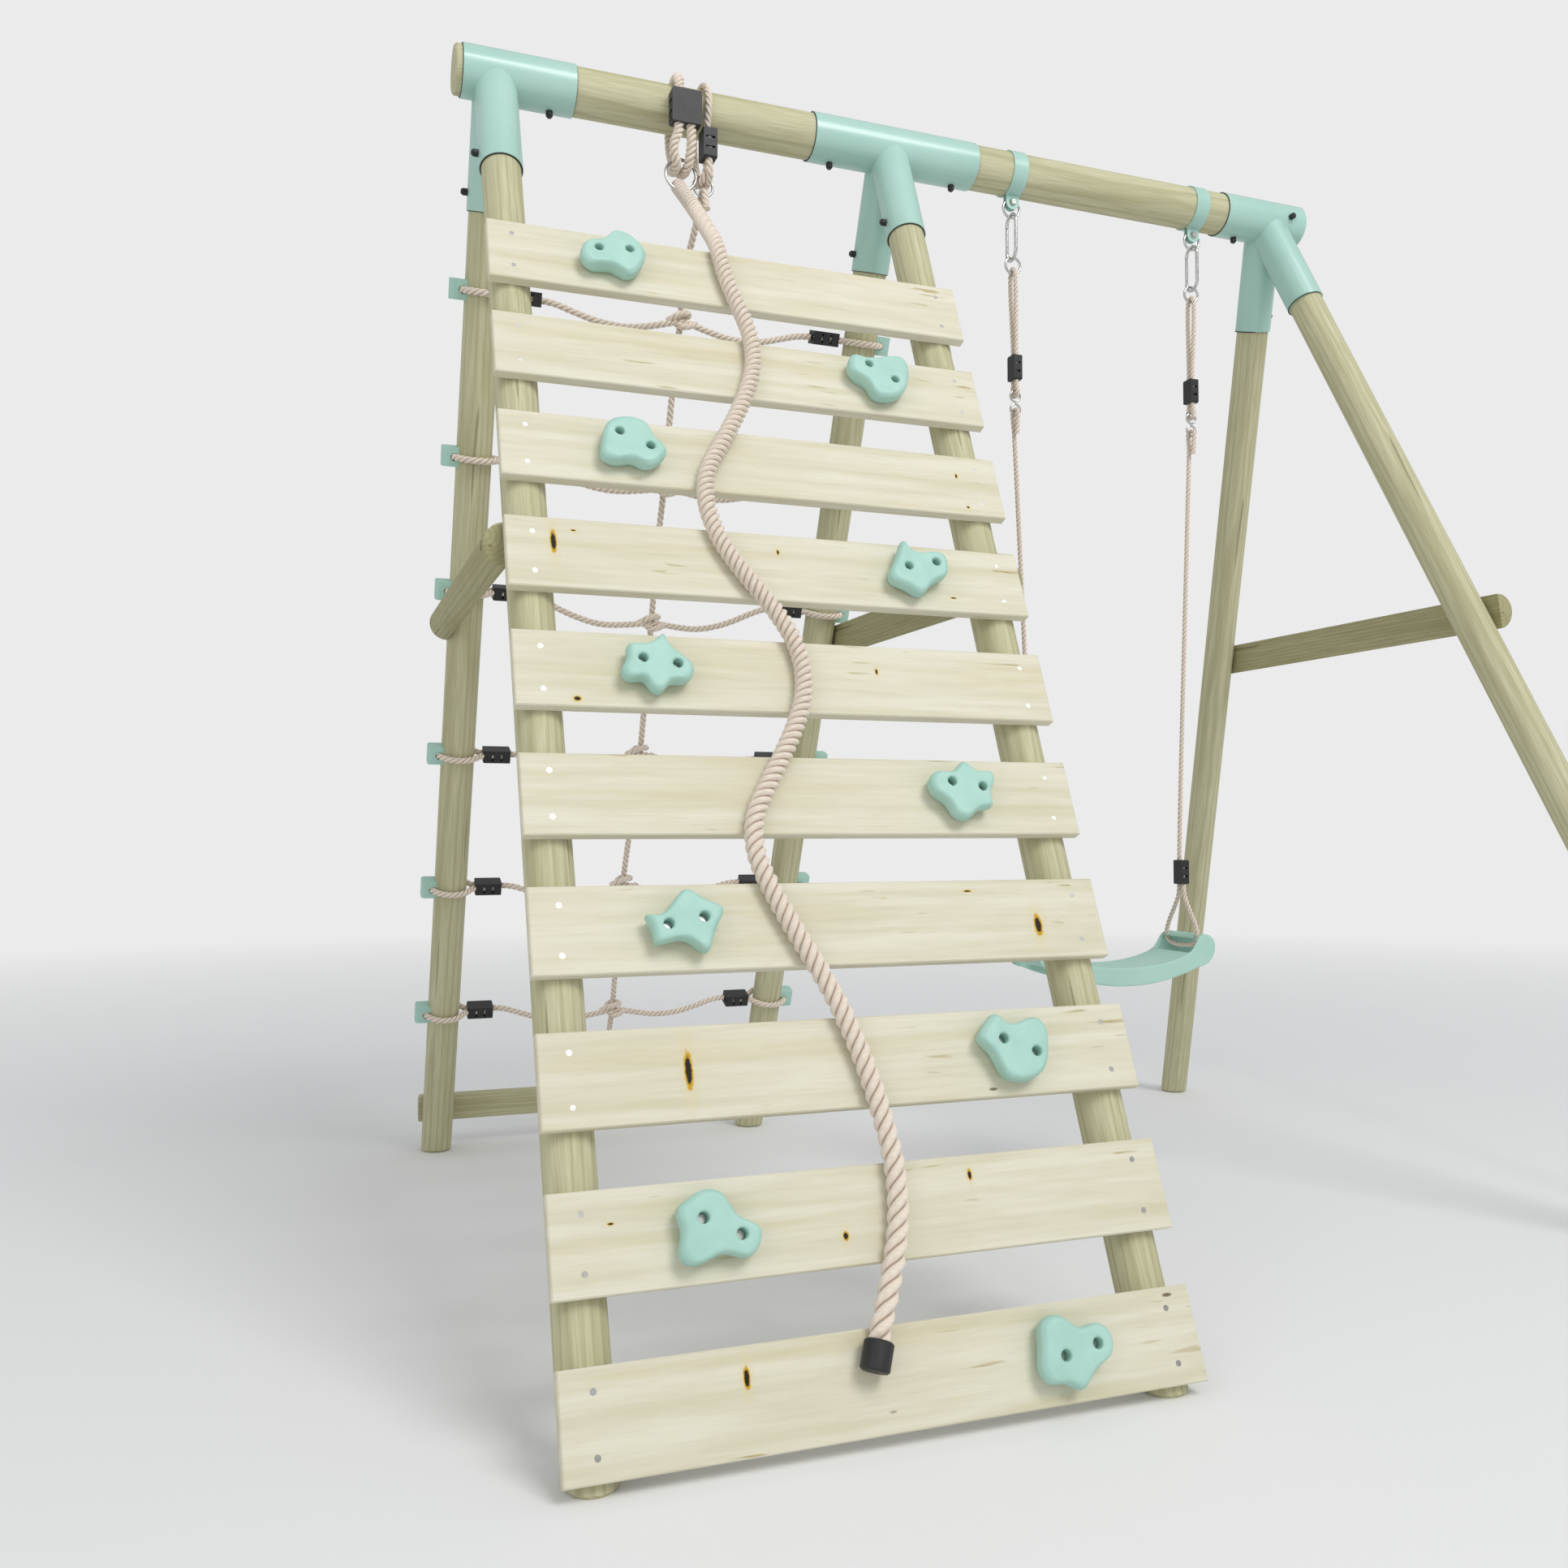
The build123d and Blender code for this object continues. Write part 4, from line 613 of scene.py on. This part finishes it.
# knots where the rows meet the upright
knotLook = dict(netRope, sides=14, stepMm=4)
for number, (upMm, sags) in enumerate(zip(netRowsMm, rowSagsMm), start=1):
    middle = sags[4]
    xMm, sMm = -halfSpacingMm + middle[0], upMm + middle[1]
    # an overhand turn: from the row on one side, round behind the upright, and out again
    loopMm = [
        (-34, -6, 13), (-19, 8, 24), (4, 19, 27), (18, 13, 13), (13, 6, -9), (-6, 2, -16),
        (-18, -4, -2), (-14, -11, 19), (4, -15, 31), (21, -8, 26), (34, -5, 14),
    ]
    points = [onNet(xMm + x, sMm + up, front) for x, up, front in loopMm]
    makeRope(f"netKnot{number}", points, "frame", knotLook)
print("stage: net knots")

# slings over the beam
slingRope = {"diameterMm": 22, "layMm": 36, "groove": 0.34, "stepMm": 2.2, "sides": 24,
             "finish": thickRope, "lengthMm": 740}
slingXMm = -55
slingMm = [
    (13, -66.5, -14), (13, -66.5, -78), (15, -63, -108), (12.4, -48, -140), (12, -14, -145),
    (10, 18, -132), (5, 46, -102), (1, 64, -64), (-1, 65, -22), (-3, 64, 28), (-6, 28, 64),
    (-9, -30, 64), (-13, -66.5, 27), (-13, -66.5, -80), (-25, -65, -102),
    (-24, -58, -126), (-12.4, -46, -142), (-12, -14, -145), (-12, 2, -136),
]
route = [fromBeam(slingXMm + x, rear, up) for x, rear, up in slingMm]
rope, line = makeRope("ropeSling", route, "frame", slingRope)
declareRope("beam_loop_front")
netSling = dict(netRope, lengthMm=715)
netSlingMm = [
    (0, -60.7, -76), (0, -60.7, -138), (5, -52, -158), (8.4, -30, -162.5),
    (8.4, -2, -162.5), (6, 22, -146), (3, 46, -108), (1, 60, -66), (0, 61, -22), (0, 60, 24),
    (-1, 25, 60), (-1, -25, 60), (-1, -60, 24), (-0.5, -60.5, -14), (0, -43.3, -47),
    (0, -43.3, -140), (-6, -40, -158), (-8.4, -26, -162.5), (-8.4, -2, -162.5),
    (-8.4, 10, -152),
]
rope, line = makeRope("netSling", [fromBeam(*point) for point in netSlingMm], "frame", netSling)
declareRope("beam_loop_rear")
print("stage: slings")

# climbing rope: served smooth near its ring, then a long open lay down the wall
climbingRope = {"diameterMm": 34, "layMm": 42, "groove": 0.36, "stepMm": 2.6, "sides": 30,
                "finish": thickRope, "lengthMm": 2560, "servedMm": 120,
                "opensFromMm": 1300, "turnsLostPerSquareMetre": 4.8}
ropeOutMm = 40 + 20 + 17 + 0.8      # leg radius, slat, rope radius and a gap
wallRouteMm = [
    (-42, 2192, 3), (-33, 2110, 0), (-15, 2040, 0), (3, 1965, 0), (-1, 1885, 0),
    (-36, 1795, 0), (-84, 1705, 0), (-128, 1630, 0), (-139, 1560, 0), (-122, 1480, 0),
    (-82, 1410, 0), (-34, 1340, 0), (2, 1262, 0), (3, 1180, 0), (-31, 1096, 0),
    (-86, 1006, 0), (-126, 938, 0), (-132, 872, 0), (-111, 808, 0), (-82, 742, 0),
    (-48, 672, 0), (-18, 598, 0), (4, 520, 0), (18, 444, 0), (26, 370, 0), (22, 308, 0),
    (8, 250, 0), (-17, 188, 0), (-42, 130, 0), (-54, 98, 0),
]
ringBottom = Vector((ringMiddle.x, ringMiddle.y, ringLow.z + 0.0035))
wallTop = onWall(-42, 2192, ropeOutMm + 3)
route = [ringBottom + (ringBottom - wallTop).normalized() * 0.024]
route.append(ringBottom + (wallTop - ringBottom) * 0.35 + Vector((0.003, 0, 0.002)))
route.append(ringBottom + (wallTop - ringBottom) * 0.7 + Vector((0.002, -0.001, -0.002)))
route += [onWall(x, up, ropeOutMm + out) for x, up, out in wallRouteMm]
rope, line = makeRope("climbingRope", route, "climbing_rope", climbingRope)
declareRope("climbing_rope")
print("stage: climbing rope", round(lineLength(line), 3), "m")

# swing ropes
swingRope = {"diameterMm": 12, "layMm": 34, "groove": 0.34, "stepMm": 2.8, "sides": 18,
             "finish": thinRope}
hangers = {"left": -1, "right": 1}
ropeSpreadMm = {"ring": 258, "hook": 254, "seat": 209}
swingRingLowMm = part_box("swing_rings")[0].z * 1000 + 3
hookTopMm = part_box("figure_eight_hooks")[1].z * 1000 - 2.5
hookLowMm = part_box("figure_eight_hooks")[0].z * 1000 + 2.5
upperMm = [
    (0.9, -6.6, 1980), (0.9, -6.6, 2038), (0.6, -8.5, 2085), (0.2, -12.5, 2165),
    (0, -12.5, swingRingLowMm + 12), (0, 12.5, swingRingLowMm + 12), (0.2, 12.5, 2165),
    (0.6, 8.5, 2085), (0.9, 6.6, 2038), (0.9, 6.6, 1949), (1, 11.5, hookTopMm + 2),
    (1, 11.5, hookTopMm - 12.5), (1, -11.5, hookTopMm - 12.5),
    (1, -11.5, hookTopMm + 2), (0.9, -6.6, 1949), (0.9, -6.6, 1973),
]
lowerMm = [
    (0, -6.8, hookLowMm - 46), (0, -9, hookLowMm - 22), (0, -12, hookLowMm - 2),
    (0, -11.5, hookLowMm + 12.5), (0, 11.5, hookLowMm + 12.5), (0, 12, hookLowMm - 2),
    (0, 9, hookLowMm - 22), (0.04, 6.6, hookLowMm - 52), (0.99, 6.6, 872), (1, 6.6, 722),
    (1, 20, 694), (1, 60, 634), (1, 61, 608), (1, 51, 595), (1, 23, 589),
    (1, -23, 590.5), (1, -51, 595), (1, -61, 608),
    (1, -60, 634), (1, -20, 694), (1, -6.6, 722), (1, -6.6, 792),
]


def hangerRoute(side, pointsMm, start, end):
    found = []
    for share, rear, up in pointsMm:
        spread = ropeSpreadMm[start] + (ropeSpreadMm[end] - ropeSpreadMm[start]) * share
        found.append(Vector((swingMiddle + hangers[side] * spread / 1000,
                             beamY + rear / 1000, up / 1000)))
    return found


for side in hangers:
    for part, pointsMm, start, end, lengthMm in (
        ("upper", upperMm, "ring", "hook", 640), ("lower", lowerMm, "hook", "seat", 1690),
    ):
        look = dict(swingRope, lengthMm=lengthMm)
        route = hangerRoute(side, pointsMm, start, end)
        rope, line = makeRope(f"swingRope_{part}_{side}", route, "swing", look)
        declareRope(f"swing_{part}_rope_{side}")
        print("stage: swing rope", part, side, round(lineLength(line), 3), "m")


# stones and seat: the CAD forms, rounded over as moulded pieces are
moulded = {
    "stones": {"voxelMm": 2.8, "passes": 5}, "seat": {"voxelMm": 2.2, "passes": 4},
    "weldMm": 0.05, "smoothing": 0.5,
}


def roundedCopy(name, source, voxelMm, passes):
    piece = bpy.data.objects.new(name, nodes[source].data.copy())
    bpy.context.scene.collection.objects.link(piece)
    piece.matrix_world = Matrix.Identity(4)
    weld = piece.modifiers.new("weld", "WELD")
    weld.merge_threshold = moulded["weldMm"] / 1000
    remesh = piece.modifiers.new("remesh", "REMESH")
    remesh.mode = "VOXEL"
    remesh.voxel_size = voxelMm / 1000
    remesh.use_smooth_shade = True
    smooth = piece.modifiers.new("smooth", "SMOOTH")
    smooth.factor = moulded["smoothing"]
    smooth.iterations = passes
    mesh = evaluatedMesh(piece, name)
    bpy.data.objects.remove(piece)
    rounded = bpy.data.objects.new(name, mesh)
    bpy.context.scene.collection.objects.link(rounded)
    return rounded


for side in ("left", "right"):
    stones = roundedCopy(f"stones_{side}", f"climbing_stones_{side}", **moulded["stones"])
    stones.data.materials.clear()
    stones.data.materials.append(mintGrip)
    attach(stones, "frame")
    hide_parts(f"climbing_stones_{side}")
print("stage: stones", len(stones.data.polygons), "faces")

seat = roundedCopy("swingSeat", "swing_seat", **moulded["seat"])
seat.data.materials.clear()
seat.data.materials.append(mintPlastic)
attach(seat, "swing")
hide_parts("swing_seat")
print("stage: seat", len(seat.data.polygons), "faces")


# painted shade: thin dark rings standing for the shaded gap where the timber enters the steel;
# sizes in mm, sockets' ends along the legs
gapShadeLook = {"wireMm": 1.3, "sleeveMm": 52.2, "socketMm": 42.6, "socketEndMm": 268, "points": 16}


# painted shade: a thin black ring laid round the mouth of a sleeve or socket, where the gap is in
# shade
def gapShadeRing(name, centre, axis, radius, wire):
    points = []
    first = axis.orthogonal().normalized()
    second = axis.cross(first)
    for turn in range(gapShadeLook["points"]):
        angle = turn * 2 * math.pi / gapShadeLook["points"]
        points.append(centre + (first * math.cos(angle) + second * math.sin(angle)) * radius)
    curve = routeCurve(name, points, closed=True)
    curve.data.bevel_depth = wire
    curve.data.bevel_resolution = 3
    ring = bpy.data.objects.new(name, evaluatedMesh(curve, name))
    bpy.context.scene.collection.objects.link(ring)
    bpy.data.objects.remove(curve)
    ring.data.materials.append(blackNylon)
    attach(ring, "frame")


gapShadeWire = gapShadeLook["wireMm"] / 1000
for pairName in ("left", "middle", "right"):
    low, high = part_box(pairName + "_bracket")
    ends = [low.x] if pairName == "right" else [low.x, high.x]
    for count, x in enumerate(ends):
        gapShadeRing(f"sleeveLip_{pairName}_{count}", Vector((x, beamY, beamZ)), acrossX.copy(),
            gapShadeLook["sleeveMm"] / 1000, gapShadeWire)
    for sideName in ("front", "rear"):
        foot, along = legAxis(f"{pairName}_{sideName}_leg")
        top = Vector((foot.x - (splay["outwards"] if pairName == "right" else 0), beamY, beamZ))
        gapShadeRing(f"socketLip_{pairName}_{sideName}", top - along * gapShadeLook["socketEndMm"] / 1000,
            along, gapShadeLook["socketMm"] / 1000, gapShadeWire)
print("stage: painted gap shade rings")

# floor and air: one seamless pale studio, the floor going over into the air far out
studio = {"floor": "#EAEAEA", "air": "#EBEBEB", "reachM": 60, "fadeFromM": 2.4, "fadeToM": 9.0,
          "ambient": 0.62}
floorMaterial, floorTree, floorShader = newMaterial("studioFloor", Roughness=0.9)
floorShader.inputs["Base Color"].default_value = linear(studio["floor"])
farGlow = addNode(floorTree, "ShaderNodeEmission", {"Color": linear(studio["air"])})
fromMiddle = addNode(floorTree, "ShaderNodeVectorMath", {
    0: addNode(floorTree, "ShaderNodeTexCoord").outputs["Object"]}, operation="LENGTH")
going = fade(floorTree, fromMiddle.outputs["Value"], studio["fadeFromM"], studio["fadeToM"])
blended = addNode(floorTree, "ShaderNodeMixShader", {
    0: going, 1: floorShader.outputs["BSDF"], 2: farGlow.outputs["Emission"]})
floorTree.links.new(blended.outputs["Shader"],
                    floorTree.nodes["Material Output"].inputs["Surface"])
half = studio["reachM"] / 2
floorMesh = bpy.data.meshes.new("studioFloor")
floorMesh.from_pydata([(-half, -half, 0), (half, -half, 0), (half, half, 0), (-half, half, 0)],
                      [], [(0, 1, 2, 3)])
floor = bpy.data.objects.new("studioFloor", floorMesh)
floor.data.materials.append(floorMaterial)
bpy.context.scene.collection.objects.link(floor)

# the air looks as bright as the floor far out, and lights the object more softly than that
world = bpy.data.worlds.new("studioAir")
bpy.context.scene.world = world
world.use_nodes = True
airTree = world.node_tree
seenAir = airTree.nodes["Background"]
seenAir.inputs["Color"].default_value = linear(studio["air"])
seenAir.inputs["Strength"].default_value = 1.0
softAir = addNode(airTree, "ShaderNodeBackground", {"Color": linear("#F2F4F6"),
                                                    "Strength": studio["ambient"]})
seen = addNode(airTree, "ShaderNodeLightPath").outputs["Is Camera Ray"]
airMix = addNode(airTree, "ShaderNodeMixShader", {
    0: seen, 1: softAir.outputs["Background"], 2: seenAir.outputs["Background"]})
airTree.links.new(airMix.outputs["Shader"], airTree.nodes["World Output"].inputs["Surface"])

lampsAimAt = (-0.2, 0, 1.1)
lightPlaces = {
    "keyLight": {"at": (2.3, -8.0, 8.8), "size": 5.0, "power": 560},
    "fillLight": {"at": (-5.5, -4.5, 3.5), "size": 4.0, "power": 50},
    "glintLight": {"at": (-0.75, -3.2, 5.5), "size": 0.45, "power": 14},
}
for name, place in lightPlaces.items():
    lamp = bpy.data.lights.new(name, "AREA")
    lamp.shape = "DISK"
    lamp.size = place["size"]
    lamp.energy = place["power"]
    thing = bpy.data.objects.new(name, lamp)
    thing.location = place["at"]
    aim = Vector(lampsAimAt) - thing.location
    thing.rotation_euler = aim.to_track_quat("-Z", "Y").to_euler()
    bpy.context.scene.collection.objects.link(thing)
bpy.context.scene.view_settings.view_transform = "Standard"
print("stage: floor and light")
